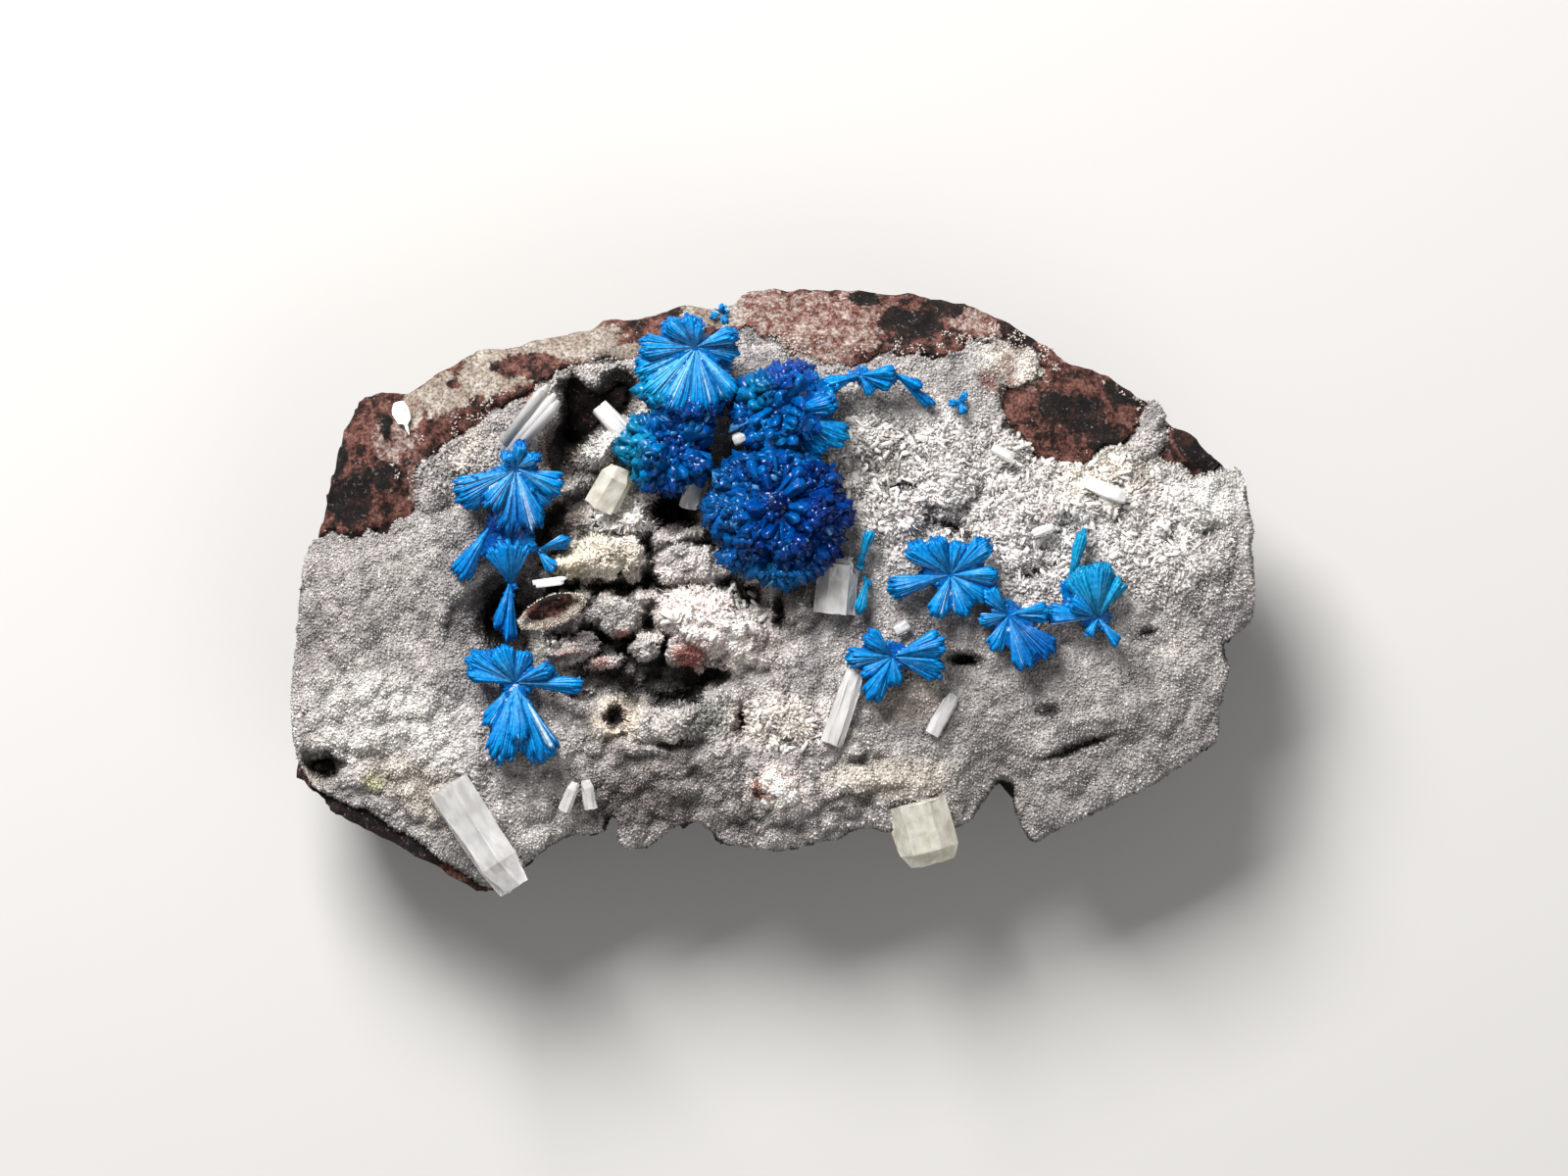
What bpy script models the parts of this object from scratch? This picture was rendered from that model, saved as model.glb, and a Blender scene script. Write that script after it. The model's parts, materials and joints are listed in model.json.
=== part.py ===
"""A cavansite hand specimen: blue rosettes on a druse-coated slab of basalt, lying on its back.

All sizes are in millimetres up to the point where a mesh is made, and MM turns them to metres.
X runs to the specimen's right, Y to its upper edge, Z up out of the druse. The slab rests on its
flat underside at Z = 0.
"""
import math
import random

import bmesh
import bpy
from mathutils import Matrix, Vector, noise
from mathutils.geometry import delaunay_2d_cdt

MM = 0.001

# Driving sizes of the slab, in mm
FACE_HEIGHT = 20.5        # the druse face above the flat underside
CRUST_THICKNESS = 2.9     # druse over the basalt, away from its edges
CRUST_EDGE = 1.0          # druse where it thins out against bare basalt
CRUST_EDGE_RUN = 3.0      # the width over which it thins out
SKIRT = 3.0               # how far the druse hangs over the slab's sides
SHOULDER_DROP = 2.0       # the face falls this much towards the outline
SHOULDER_RUN = 5.0
TOP_SLOPE_START = 23.0    # the upper edge slopes away from here
TOP_SLOPE = 0.38
GAP = 0.3                 # between a grown piece and what it sits on
CRUST_GAP = 0.4           # between the druse and the basalt
LONG_FAN = 8.2            # a longer sheaf of cavansite has three teeth, a shorter one two
FAN_OVER = 0.55           # a sheaf's rise over its middle, as a share of its rim thickness
FAN_UNDER = 1.1           # and its depth under it
HUB_SHARE = 0.35          # a sheaf's thickness at the hub, as a share of that at the rim

# Spacing of the points that the face is faceted with
FACE_SPACING = 3.9
FEATURE_SPACING = 1.85
ROCK_SPACING = 6.4
BARE_ROCK_SPACING = 3.0
LONGEST_FACE_EDGE = 3.2   # along the outlines and borders
LONGEST_ROCK_EDGE = 4.2
SCATTER_STEP = 0.55
FEATURE_MARGIN = 0.6      # the fine spacing starts this far outside a lump or pit
FINE_LUMPS = 17           # the first ones of LUMPS are faceted with the fine spacing

# The slab's outline, clockwise from the left end of the bare upper edge
TOP_EDGE = [
    (-47.0, 5.7), (-45.8, 10.3), (-44.2, 16.9), (-42.2, 19.9), (-40.2, 21.1),
    (-37.5, 20.4), (-34.8, 22.4), (-31.8, 24.1), (-30.1, 25.1), (-26.8, 25.1), (-22.8, 26.4),
    (-18.8, 27.1), (-17.4, 28.1), (-13.7, 28.4), (-10.8, 29.1), (-8.2, 29.9), (-6.0, 29.4),
    (-4.0, 29.8), (-3.0, 31.1), (0.1, 31.4), (4.2, 31.4), (9.2, 31.4), (11.8, 30.9),
    (17.6, 30.6), (21.4, 29.4), (25.1, 27.4), (28.6, 25.6), (30.6, 23.6), (34.2, 22.6),
]
NECK = [(39.0, 19.6), (40.5, 18.4)]
RIGHT_EDGE = [(43.1, 16.8), (47.0, 13.8)]
DRUSE_EDGE = [
    (47.5, 12.9), (48.6, 11.2), (48.8, 8.8), (49.2, 6.5), (49.0, 4.3), (49.5, 0.3),
    (49.1, -2.9), (46.1, -5.5), (46.9, -7.8), (46.4, -9.4), (45.5, -15.4), (39.6, -19.4),
    (34.2, -22.1), (29.1, -24.4), (26.9, -25.9), (25.8, -24.2), (24.9, -21.9), (25.1, -19.6),
    (23.2, -19.1), (21.9, -20.9), (21.2, -22.1), (20.6, -23.2), (18.9, -24.2), (15.8, -24.1),
    (12.8, -25.2), (11.9, -24.4), (8.8, -24.1), (6.8, -25.2), (4.2, -25.6), (0.8, -26.6),
    (-2.5, -26.1), (-5.0, -25.6), (-7.5, -23.2), (-11.1, -24.6), (-12.7, -26.2), (-14.7, -26.4),
    (-15.9, -25.2), (-15.4, -24.1), (-16.1, -22.9), (-17.1, -23.2), (-17.2, -24.6),
    (-20.8, -24.9), (-23.1, -26.2), (-25.1, -27.6), (-25.9, -28.9), (-28.2, -30.4),
    (-29.8, -30.1), (-33.2, -27.9), (-36.8, -25.4), (-40.8, -23.4), (-44.2, -21.6),
    (-47.0, -19.9), (-48.5, -17.9), (-49.1, -14.4), (-49.1, -9.3), (-48.6, -5.0), (-47.9, 3.0),
]
# Where the druse ends against bare basalt along the upper left and the upper edge
BORDER_TOP = [
    (-45.4, 6.0), (-42.8, 5.5), (-40.0, 6.5), (-38.1, 7.2), (-36.0, 8.0), (-36.9, 9.8),
    (-37.0, 12.2), (-35.8, 13.6), (-33.6, 14.7), (-32.0, 15.9), (-29.9, 17.6), (-27.9, 18.9),
    (-25.4, 19.9), (-21.9, 21.6), (-20.8, 22.9), (-18.6, 23.6), (-13.8, 23.6), (-11.6, 25.1),
    (-8.8, 25.9), (-5.2, 26.9), (-3.2, 27.8), (-0.8, 25.9), (3.0, 24.4), (5.5, 23.4),
    (9.2, 23.4), (13.2, 24.4), (16.9, 23.6), (19.6, 24.9), (21.1, 26.4), (23.9, 26.1),
    (26.2, 24.6), (28.1, 22.4), (26.6, 21.1), (23.9, 20.6), (23.4, 19.1), (24.2, 16.1),
    (27.1, 13.2), (29.1, 12.8), (33.0, 13.9), (35.0, 15.2), (37.5, 16.8), (38.0, 18.9),
]
BORDER_RIGHT = [(40.9, 16.1), (39.5, 13.8), (40.9, 12.7), (42.9, 12.2), (46.1, 11.9)]
# The basalt's own outline where druse covers it, clockwise from the right end of the neck
ROCK_EDGE = [
    (40.4, 17.9), (43.0, 16.4), (46.5, 13.4), (47.6, 9.8), (48.1, 6.3), (48.0, 3.4),
    (48.9, 1.1), (48.8, -1.4), (47.9, -3.2), (45.5, -5.2), (46.5, -8.0), (46.5, -9.7),
    (45.9, -14.8), (39.2, -18.6), (34.0, -21.1), (28.9, -23.4), (26.9, -24.6), (26.1, -23.1),
    (25.6, -20.1), (23.4, -18.1), (21.4, -19.6), (20.4, -21.9), (18.8, -23.1), (15.2, -22.6),
    (11.8, -23.4), (8.8, -23.1), (6.8, -24.2), (4.2, -24.6), (0.8, -25.6), (-2.5, -25.1),
    (-4.8, -24.4), (-7.5, -22.2), (-11.1, -23.4), (-13.2, -25.1), (-14.8, -25.2),
    (-15.3, -23.4), (-16.1, -22.1), (-17.6, -22.2), (-18.4, -23.9), (-20.9, -23.9),
    (-23.4, -25.2), (-25.8, -26.9), (-25.6, -29.2), (-28.4, -31.4), (-30.4, -31.1),
    (-33.6, -29.2), (-37.4, -26.9), (-41.6, -24.8), (-45.4, -22.9), (-47.2, -20.9),
    (-49.2, -19.4), (-49.5, -17.2), (-49.0, -14.4), (-48.4, -9.3), (-47.9, -5.0), (-47.0, 3.0),
]
# Height and size of each ring of the slab's broken side, from under the face to the underside
ROCK_RINGS = [(12.0, 0.98), (4.0, 0.925), (0.0, 0.85)]
RING_ROUGHNESS = 2.2
ROCK_SMOOTHING = 2        # rounds of smoothing for each ring below the first

# Lumps of druse: centre X, Y, half-length, half-width, turn in degrees, height
LUMPS = [
    (-18.0, 14.2, 4.0, 1.9, 37, 3.2), (-17.6, 2.4, 4.6, 2.4, 0, 2.6),
    (-20.2, -3.2, 2.2, 2.0, 0, 1.6), (-16.2, -2.9, 3.3, 3.2, 0, 2.8),
    (-12.9, -5.5, 1.7, 1.5, 0, 2.2), (-21.4, -6.1, 3.0, 1.6, 15, 2.4), (-17.6, -7.6, 1.7, 1.1, 0, 1.6),
    (-8.0, 1.3, 3.1, 1.7, 0, 2.2), (-6.2, -3.9, 6.6, 3.9, -20, 3.6),
    (2.6, -1.9, 1.6, 2.3, 0, 2.0), (-11.7, -13.4, 2.7, 2.0, 0, 2.4),
    (-8.6, -12.2, 1.6, 1.6, 0, 2.2), (-5.6, -13.3, 1.8, 2.8, 0, 2.0),
    (0.0, -20.1, 2.8, 2.5, 0, 2.9), (-13.2, 9.8, 2.6, 2.2, 0, 1.6),
    (-9.4, 5.2, 2.0, 1.8, 0, 1.8), (13.8, 7.8, 2.4, 2.2, 0, 1.9),
    (18.5, 11.4, 3.4, 2.4, 10, 1.5), (30.5, 8.6, 3.6, 2.0, -15, 1.3),
    (38.4, 9.0, 3.0, 2.4, 0, 1.2), (42.2, 2.2, 3.2, 2.6, 20, 1.2),
    (33.8, 3.4, 2.6, 1.8, 0, 1.0), (7.2, -9.6, 2.2, 2.2, 0, 1.4),
    (3.4, -11.0, 2.4, 2.6, 0, 1.2), (9.6, -20.0, 2.6, 1.8, 0, 1.1),
    (-33.6, 12.0, 2.8, 2.0, 0, 1.3), (-33.0, -18.6, 3.4, 2.4, 0, 1.1),
    (-42.0, -1.5, 4.6, 3.6, 0, 0.9), (-38.0, -12.0, 4.8, 3.6, 0, 0.9),
    (-14.2, -19.6, 3.0, 2.2, 0, 1.2), (-19.4, -16.2, 2.6, 2.0, 0, 1.4),
    (-7.4, -20.6, 2.4, 2.2, 0, 1.0), (26.0, 24.0, 2.2, 1.3, -35, 1.2),
    (45.6, -1.0, 2.2, 2.4, 0, 0.9), (37.0, -12.0, 4.6, 3.0, 25, 0.8),
    (27.0, -17.0, 3.6, 1.8, 19, 0.8),
]
# Pits, hollows and cracks in it, in the same terms, with a depth
PITS = [
    (-19.0, 18.2, 2.1, 2.0, 0, 10.5), (-20.9, 14.6, 2.6, 3.6, -20, 6.5),
    (-15.2, 20.4, 2.0, 2.6, 0, 5.0), (-18.3, 10.8, 3.6, 1.9, 30, 5.5),
    (-22.9, 6.4, 2.4, 2.8, 0, 5.0), (-26.4, -3.2, 2.5, 5.2, 0, 7.5),
    (-14.1, 1.0, 0.9, 2.3, 0, 4.0), (-12.0, -9.2, 3.0, 2.5, 0, 8.5),
    (-7.2, -10.1, 3.2, 1.3, 0, 6.5), (-19.4, -9.6, 3.4, 1.2, 0, 4.5),
    (0.6, -2.1, 0.9, 2.0, 0, 4.5), (-15.6, -12.8, 1.8, 1.7, 0, 3.6),
    (-2.9, -13.2, 1.0, 1.6, 0, 2.0), (-12.6, -16.2, 2.7, 1.0, 0, 2.2),
    (-9.8, 8.0, 2.5, 2.0, 0, 4.5), (-4.4, 12.6, 1.6, 4.0, 0, 3.5),
    (8.7, -21.5, 1.9, 0.8, 0, 1.6), (9.5, -17.1, 2.2, 0.8, 0, 1.2),
    (11.5, 10.8, 1.9, 0.8, 0, 3.0), (18.3, 6.6, 3.1, 1.1, -30, 2.6),
    (27.6, 2.2, 2.1, 0.9, 20, 2.2), (19.7, -6.9, 1.7, 0.8, 0, 2.4),
    (38.5, -4.1, 1.0, 0.8, 0, 1.6), (28.2, -12.1, 1.4, 0.8, 0, 1.2),
    (31.0, -16.0, 3.8, 0.8, 19, 2.0), (39.2, -9.8, 0.9, 0.9, 0, 1.2),
    (45.2, 6.1, 1.5, 0.8, 0, 2.0), (-46.2, -17.8, 2.4, 1.7, 0, 4.2),
    (-33.4, 8.6, 1.6, 1.2, 0, 1.0), (-4.6, -17.4, 2.2, 1.0, 20, 1.4),
]

# Cavansite. A group is built from hubs (X, Y, height over the face's broad form). A fan is
# (direction in degrees, rise in degrees, length, half-spread in degrees, thickness at its rim)
# and a ball is (offset X, Y, Z from the hub, radius X, Y, Z).
LEFT_ROSETTE = [
    dict(hub=(-26.0, 12.5, 3.2), fans=[
        (207, -6, 7.2, 18, 2.2), (337, -4, 5.4, 17, 2.0), (262, -10, 6.8, 16, 2.2),
        (288, -4, 6.9, 13, 2.0), (79, 30, 3.2, 14, 1.3), (234, 2, 5.2, 14, 1.6),
        (130, 35, 2.4, 18, 1.2), (30, 24, 2.9, 16, 1.2), (312, -20, 5.4, 15, 1.8)],
        balls=[(0.0, -1.2, -2.4, 3.2, 2.8, 2.8)]),
    dict(hub=(-28.6, 6.8, 2.2), fans=[(238, -12, 6.9, 11, 1.8)],
         balls=[(1.0, 0.4, 0.0, 1.8, 1.5, 1.4)]),
    dict(hub=(-26.5, 0.4, 0.6), fans=[
        (97, 14, 5.4, 30, 1.3)],
        balls=[(0.0, 0.0, 0.0, 0.8, 0.8, 0.8)]),
    dict(hub=(-26.0, 5.4, 1.6), fans=[], balls=[(0.0, 0.0, 0.0, 2.3, 1.4, 1.3)]),
    dict(hub=(-23.9, 4.2, 1.4), fans=[(18, 4, 3.7, 13, 1.0), (312, -4, 2.9, 16, 0.9)],
         balls=[(-0.8, 0.4, 0.0, 1.2, 1.0, 0.9)]),
    dict(hub=(-26.6, 1.2, 0.6), fans=[(270, -2, 6.9, 6, 1.4), (254, -8, 5.6, 7, 1.6)], balls=[]),
]
LOWER_BOWTIE = [
    dict(hub=(-26.1, -9.3, 2.6), fans=[
        (150, -2, 5.8, 15, 1.8), (114, 6, 4.3, 20, 1.6), (170, 2, 5.2, 8, 1.7),
        (23, 16, 4.5, 12, 1.3), (358, 6, 7.3, 8, 1.7), (236, -8, 5.6, 11, 1.6),
        (259, 2, 8.5, 13, 2.2), (291, 4, 8.9, 14, 2.2), (275, 16, 6.8, 10, 1.6),
        (70, -4, 3.6, 18, 1.5)], balls=[(0.0, -0.3, -2.0, 2.2, 2.0, 2.4)]),
]
TOP_ROSETTE = [
    dict(hub=(-7.7, 24.8, 4.6), fans=[
        (104, 16, 3.7, 13, 1.4), (79, 26, 3.0, 11, 1.2), (20, 12, 4.7, 14, 1.7),
        (350, -10, 4.6, 12, 1.7), (180, 2, 6.1, 15, 1.9), (203, -4, 7.0, 12, 1.9),
        (226, 0, 7.6, 13, 2.0), (252, 4, 7.4, 14, 2.2), (279, 6, 7.2, 14, 2.2),
        (306, 0, 6.7, 13, 2.0), (140, 14, 4.4, 15, 1.5)],
        balls=[(0.0, -2.0, -2.6, 4.4, 4.2, 2.6)]),
    dict(hub=(-9.9, 14.8, 2.8), fans=[
        (178, 0, 5.6, 16, 2.2), (206, -6, 5.4, 14, 2.0), (238, -4, 5.6, 14, 2.2),
        (150, 4, 4.8, 14, 2.0), (262, 8, 4.6, 15, 2.2), (92, 20, 4.8, 18, 2.0),
        (40, 16, 4.6, 15, 2.0), (200, 40, 4.4, 16, 1.8), (320, 20, 4.4, 16, 1.8)],
        balls=[(0.2, 0.4, -0.8, 3.2, 3.0, 2.4)]),
]
CENTRAL_CLUSTER = [
    dict(hub=(1.0, 18.2, 3.4), fans=[
        (62, 14, 5.0, 15, 2.2), (92, 24, 4.6, 16, 2.2), (150, 2, 5.0, 15, 2.0),
        (186, 4, 4.8, 15, 2.0), (214, 10, 4.6, 14, 2.0), (338, 0, 7.6, 13, 1.8),
        (316, 0, 6.2, 13, 1.8), (14, 8, 6.0, 14, 2.0), (122, 20, 4.4, 14, 2.0),
        (250, 42, 4.4, 18, 2.0), (330, 46, 4.6, 18, 2.0)],
        balls=[(0.2, 0.2, -0.6, 3.4, 2.9, 2.8), (2.0, 3.2, 0.2, 2.4, 1.8, 1.8)]),
    dict(hub=(0.6, 8.4, 2.6), fans=[
        (180, 6, 7.4, 15, 2.4), (205, 0, 7.5, 14, 2.4), (152, 8, 7.2, 14, 2.4),
        (230, 2, 7.6, 14, 2.4), (255, 4, 7.7, 13, 2.4), (279, 8, 8.4, 13, 2.6),
        (304, 4, 7.8, 13, 2.4), (330, 6, 7.6, 14, 2.4), (356, 10, 7.4, 14, 2.4),
        (24, 14, 7.2, 14, 2.4), (52, 18, 6.8, 14, 2.2), (126, 14, 6.8, 14, 2.2),
        (190, 34, 6.4, 18, 2.4), (236, 32, 6.4, 17, 2.4), (288, 32, 6.4, 17, 2.4),
        (348, 36, 6.4, 18, 2.4), (88, 20, 7.2, 20, 2.4)],
        balls=[(0.0, 0.0, -0.4, 3.6, 3.6, 3.4)]),
    dict(hub=(9.0, 22.0, 2.6), fans=[
        (197, 2, 4.2, 14, 1.7), (4, 6, 3.8, 14, 1.6), (338, 2, 3.6, 10, 1.4),
        (299, -4, 2.5, 12, 1.2)], balls=[(0.0, 0.0, -0.8, 1.4, 1.3, 1.4)]),
    dict(hub=(12.4, 22.2, 2.4), fans=[(334, 4, 3.4, 10, 1.1), (320, -10, 5.6, 6, 1.0)], balls=[]),
]
RIGHT_ROSETTES = [
    dict(hub=(18.2, 1.7, 2.7), fans=[
        (146, 4, 5.5, 16, 1.9), (114, 10, 4.4, 15, 1.7), (193, -4, 6.9, 11, 1.8),
        (250, 0, 4.9, 15, 1.6), (290, 2, 4.7, 14, 1.5), (324, -2, 4.5, 14, 1.5),
        (358, 4, 5.1, 12, 1.5), (41, 8, 5.4, 15, 1.7), (76, 6, 3.8, 15, 1.4)],
         balls=[(0.0, 0.0, -1.8, 2.4, 2.2, 2.4)]),
    dict(hub=(24.1, -2.4, 2.3), fans=[
        (132, 8, 3.8, 18, 1.5), (5, 8, 4.5, 15, 1.4), (318, 0, 6.3, 15, 1.9),
        (289, 2, 6.1, 14, 1.9), (245, -2, 4.2, 15, 1.5), (192, 0, 3.2, 16, 1.3)],
         balls=[(0.0, 0.0, -1.6, 2.2, 2.0, 2.2)]),
    dict(hub=(33.2, -2.7, 2.2), fans=[
        (175, 0, 5.6, 13, 1.4), (118, 2, 5.6, 16, 1.6), (88, 6, 6.1, 16, 1.7),
        (60, 2, 4.8, 12, 1.5), (308, -4, 3.7, 10, 1.1), (242, 0, 2.2, 16, 1.0),
        (148, 12, 3.6, 15, 1.3)], balls=[(0.0, 0.0, -1.6, 2.0, 1.8, 2.0)]),
    dict(hub=(30.2, 0.0, 1.6), fans=[(77, 12, 6.8, 6, 1.2)],
         balls=[(0.0, 0.2, -0.6, 1.2, 1.4, 1.2)]),
]
FRONT_ROSETTE = [
    dict(hub=(12.3, -6.6, 2.6), fans=[
        (16, 2, 5.8, 16, 1.7), (343, 0, 5.6, 16, 1.7), (138, 6, 3.8, 18, 1.5),
        (182, 0, 5.0, 14, 1.5), (242, -2, 5.3, 15, 1.6), (275, 4, 3.2, 17, 1.3),
        (212, -4, 3.8, 13, 1.3)],
        balls=[(0.0, 0.0, -1.8, 2.1, 2.0, 2.2)]),
]
UPPER_BLADE = [dict(hub=(8.9, 2.3, 1.4), fans=[(74, 8, 4.4, 8, 0.9)],
                    balls=[(0.1, 0.3, -0.6, 0.8, 0.9, 1.2)])]
LOWER_BLADE = [dict(hub=(9.8, 1.4, 1.2), fans=[(255, 8, 4.0, 10, 1.0)],
                    balls=[(0.0, -0.4, -0.6, 0.8, 0.9, 1.2)])]
TOP_SPRAY = [dict(hub=(-5.2, 28.4, -0.2), fans=[
    (80, 16, 1.2, 24, 0.7), (190, 12, 1.2, 24, 0.7), (300, 12, 1.2, 24, 0.7)],
    balls=[(0.0, 0.0, -0.3, 0.8, 0.8, 0.9)])]
RIGHT_SPRAY = [dict(hub=(19.2, 19.2, 1.0), fans=[
    (60, 22, 1.3, 24, 0.7), (180, 16, 1.2, 24, 0.7), (290, 16, 1.3, 24, 0.7)],
    balls=[(0.0, 0.0, -0.3, 0.9, 0.9, 0.9)])]

# The thin broken wall of a gas bubble that stands in the hollow: middle X, Y, height over the
# face's broad form, direction and tilt in degrees, length, width, thickness, sag across it
SHELL = (-22.6, -1.5, 1.3, 22, 28, 7.4, 3.8, 0.6, 1.1)

CAVANSITES = {
    "cavansite_left_rosette": LEFT_ROSETTE,
    "cavansite_lower_bowtie": LOWER_BOWTIE,
    "cavansite_top_rosette": TOP_ROSETTE,
    "cavansite_central_cluster": CENTRAL_CLUSTER,
    "cavansite_right_rosettes": RIGHT_ROSETTES,
    "cavansite_front_rosette": FRONT_ROSETTE,
    "cavansite_upper_blade": UPPER_BLADE,
    "cavansite_lower_blade": LOWER_BLADE,
    "cavansite_top_spray": TOP_SPRAY,
    "cavansite_right_spray": RIGHT_SPRAY,
}

# Colourless crystals: middle X, Y, height of the middle over the face's broad form, direction and rise of
# its length in degrees, roll in degrees, length, width, thickness, share of the end that tapers
CRYSTALS = {
    "stilbite_blade_left": (-24.6, 17.5, 1.1, 49, 12, 6, 8.2, 2.7, 1.2, 0.10),
    "stilbite_blade_right": (-16.1, 17.2, 0.6, 308, 8, -15, 5.4, 1.9, 1.0, 0.10),
    "calcite_yellow_hollow": (-16.3, 10.6, 1.2, 60, 14, 20, 4.8, 3.8, 2.8, 0.24),
    "calcite_plate_dark": (-7.9, 10.1, 1.6, 70, 24, 30, 3.6, 2.6, 0.9, 0.20),
    "calcite_cube": (-3.2, 15.6, 4.6, 20, 8, 12, 1.5, 1.4, 1.6, 0.05),
    "calcite_stub_white": (-22.9, 0.9, 2.0, 8, 6, 0, 3.4, 1.3, 1.2, 0.20),
    "calcite_block_middle": (6.6, 0.7, 0.7, 84, 6, 10, 6.0, 4.4, 2.6, 0.12),
    "stilbite_rounded": (7.3, -11.8, 1.3, 72, 5, 0, 8.0, 2.5, 1.9, 0.26),
    "calcite_plate_front": (17.5, -12.5, 0.6, 62, 5, 25, 4.8, 2.0, 1.0, 0.20),
    "calcite_square": (13.3, -3.7, 0.6, 30, 6, 0, 1.7, 1.5, 1.2, 0.05),
    "calcite_yellow_edge": (15.6, -24.6, 0.6, 285, -6, 8, 6.8, 6.4, 3.8, 0.22),
    "calcite_prism_corner": (-29.6, -25.0, 2.0, 303, 2, 24, 12.6, 5.2, 4.2, 0.24),
    "stilbite_pair_left": (-20.6, -20.9, 1.1, 66, 12, 0, 3.4, 1.5, 1.1, 0.24),
    "stilbite_pair_right": (-18.7, -20.7, 1.2, 100, 16, 0, 3.2, 1.5, 1.1, 0.24),
    "stilbite_tabular_upper": (34.0, 10.3, 1.0, 338, 8, 10, 4.6, 1.9, 1.1, 0.16),
    "stilbite_tabular_middle": (23.6, 14.1, 0.8, 330, 8, 0, 2.6, 1.4, 0.9, 0.16),
    "stilbite_tabular_small": (27.7, 6.2, 0.8, 20, 10, 0, 2.3, 1.2, 0.9, 0.16),
    "calcite_white_spot": (-37.8, 17.6, -0.6, 100, 2, 0, 3.8, 1.9, 1.3, 0.20),
}


def smoothstep(t):
    t = min(max(t, 0.0), 1.0)
    return t * t * (3 - 2 * t)


def distance_to_path(x, y, path, closed=False):
    """The shortest way in mm from a point to a path of straight pieces."""
    best = 1e9
    ends = zip(path, path[1:] + path[:1]) if closed else zip(path, path[1:])
    for (ax, ay), (bx, by) in ends:
        ux, uy = bx - ax, by - ay
        along = ((x - ax) * ux + (y - ay) * uy) / (ux * ux + uy * uy)
        along = min(max(along, 0.0), 1.0)
        best = min(best, math.hypot(x - ax - along * ux, y - ay - along * uy))
    return best


def inside(x, y, loop):
    crossings = False
    for (ax, ay), (bx, by) in zip(loop, loop[1:] + loop[:1]):
        if (ay > y) != (by > y) and x < ax + (bx - ax) * (y - ay) / (by - ay):
            crossings = not crossings
    return crossings


OUTLINE = TOP_EDGE + NECK + RIGHT_EDGE + DRUSE_EDGE
ROCK_OUTLINE = TOP_EDGE + NECK[:1] + ROCK_EDGE
TOP_BORDER_PATH = TOP_EDGE[:1] + BORDER_TOP + NECK[:1]
RIGHT_BORDER_PATH = NECK[1:] + BORDER_RIGHT + DRUSE_EDGE[:1]
CRUST_OUTLINE = TOP_BORDER_PATH + RIGHT_BORDER_PATH + DRUSE_EDGE[1:]


def oval(x, y, feature, wider=0.0):
    """How far out a point is in a lump or pit: 0 at its middle, 1 at its rim."""
    cx, cy, half_length, half_width, turn = feature[:5]
    c, s = math.cos(math.radians(turn)), math.sin(math.radians(turn))
    along = ((x - cx) * c + (y - cy) * s) / (half_length + wider)
    across = (-(x - cx) * s + (y - cy) * c) / (half_width + wider)
    return along * along + across * across


def swell(x, y):
    """The face's broad form, without its lumps and pits."""
    height = FACE_HEIGHT + 0.9 * noise.noise(Vector((x / 13, y / 13, 3.1)))
    height += 0.45 * noise.noise(Vector((x / 5, y / 5, 8.7)))
    height -= SHOULDER_DROP * (1 - smoothstep(distance_to_path(x, y, OUTLINE, True) / SHOULDER_RUN))
    return height - TOP_SLOPE * max(0.0, y - TOP_SLOPE_START)


def face_height(x, y):
    """Top of the druse."""
    height = swell(x, y)
    for lump in LUMPS:
        height += lump[5] * max(0.0, 1 - oval(x, y, lump)) ** 0.7
    for pit in PITS:
        height -= pit[5] * math.exp(-(oval(x, y, pit) ** 2))
    return height


def rock_height(x, y):
    """Top of the basalt: under the druse it lies deeper, and deeper still under the pits."""
    covered = inside(x, y, CRUST_OUTLINE)
    depth = CRUST_EDGE
    if covered:
        away = min(distance_to_path(x, y, TOP_BORDER_PATH), distance_to_path(x, y, RIGHT_BORDER_PATH))
        depth += (CRUST_THICKNESS - CRUST_EDGE) * smoothstep(away / CRUST_EDGE_RUN)
    height = swell(x, y) - depth
    deepest = 0.0
    for pit in PITS:
        deepest = max(deepest, (pit[5] + 0.6) * math.exp(-(oval(x, y, pit, 1.6) ** 2)))
    if not covered:
        height += 0.5 * noise.noise(Vector((x / 2.2, y / 2.2, 5.5)))
    return height - deepest


def densify(path, longest):
    """The path with extra points, so that no piece of it is longer than this."""
    points = []
    for (ax, ay), (bx, by) in zip(path, path[1:] + path[:1]):
        pieces = max(1, math.ceil(math.hypot(bx - ax, by - ay) / longest))
        points += [(ax + (bx - ax) * i / pieces, ay + (by - ay) * i / pieces) for i in range(pieces)]
    return points


def scatter(outline, spacing, seed, kept):
    """Points over the outline's inside, at least spacing(x, y) from each other and from kept."""
    order = random.Random(seed)
    xs, ys = [p[0] for p in outline], [p[1] for p in outline]
    points = list(kept)
    tries = [(x, y) for x in frange(min(xs), max(xs), SCATTER_STEP)
             for y in frange(min(ys), max(ys), SCATTER_STEP)]
    order.shuffle(tries)
    cells = {}
    size = ROCK_SPACING
    for p in points:
        cells.setdefault((int(p[0] // size), int(p[1] // size)), []).append(p)
    made = []
    for x, y in tries:
        x, y = x + order.uniform(-0.2, 0.2), y + order.uniform(-0.2, 0.2)
        if not inside(x, y, outline):
            continue
        apart = spacing(x, y)
        cell = (int(x // size), int(y // size))
        near = (p for i in (-1, 0, 1) for j in (-1, 0, 1)
                for p in cells.get((cell[0] + i, cell[1] + j), ()))
        if any(math.hypot(p[0] - x, p[1] - y) < apart for p in near):
            continue
        made.append((x, y))
        cells.setdefault(cell, []).append((x, y))
    return made


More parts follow.
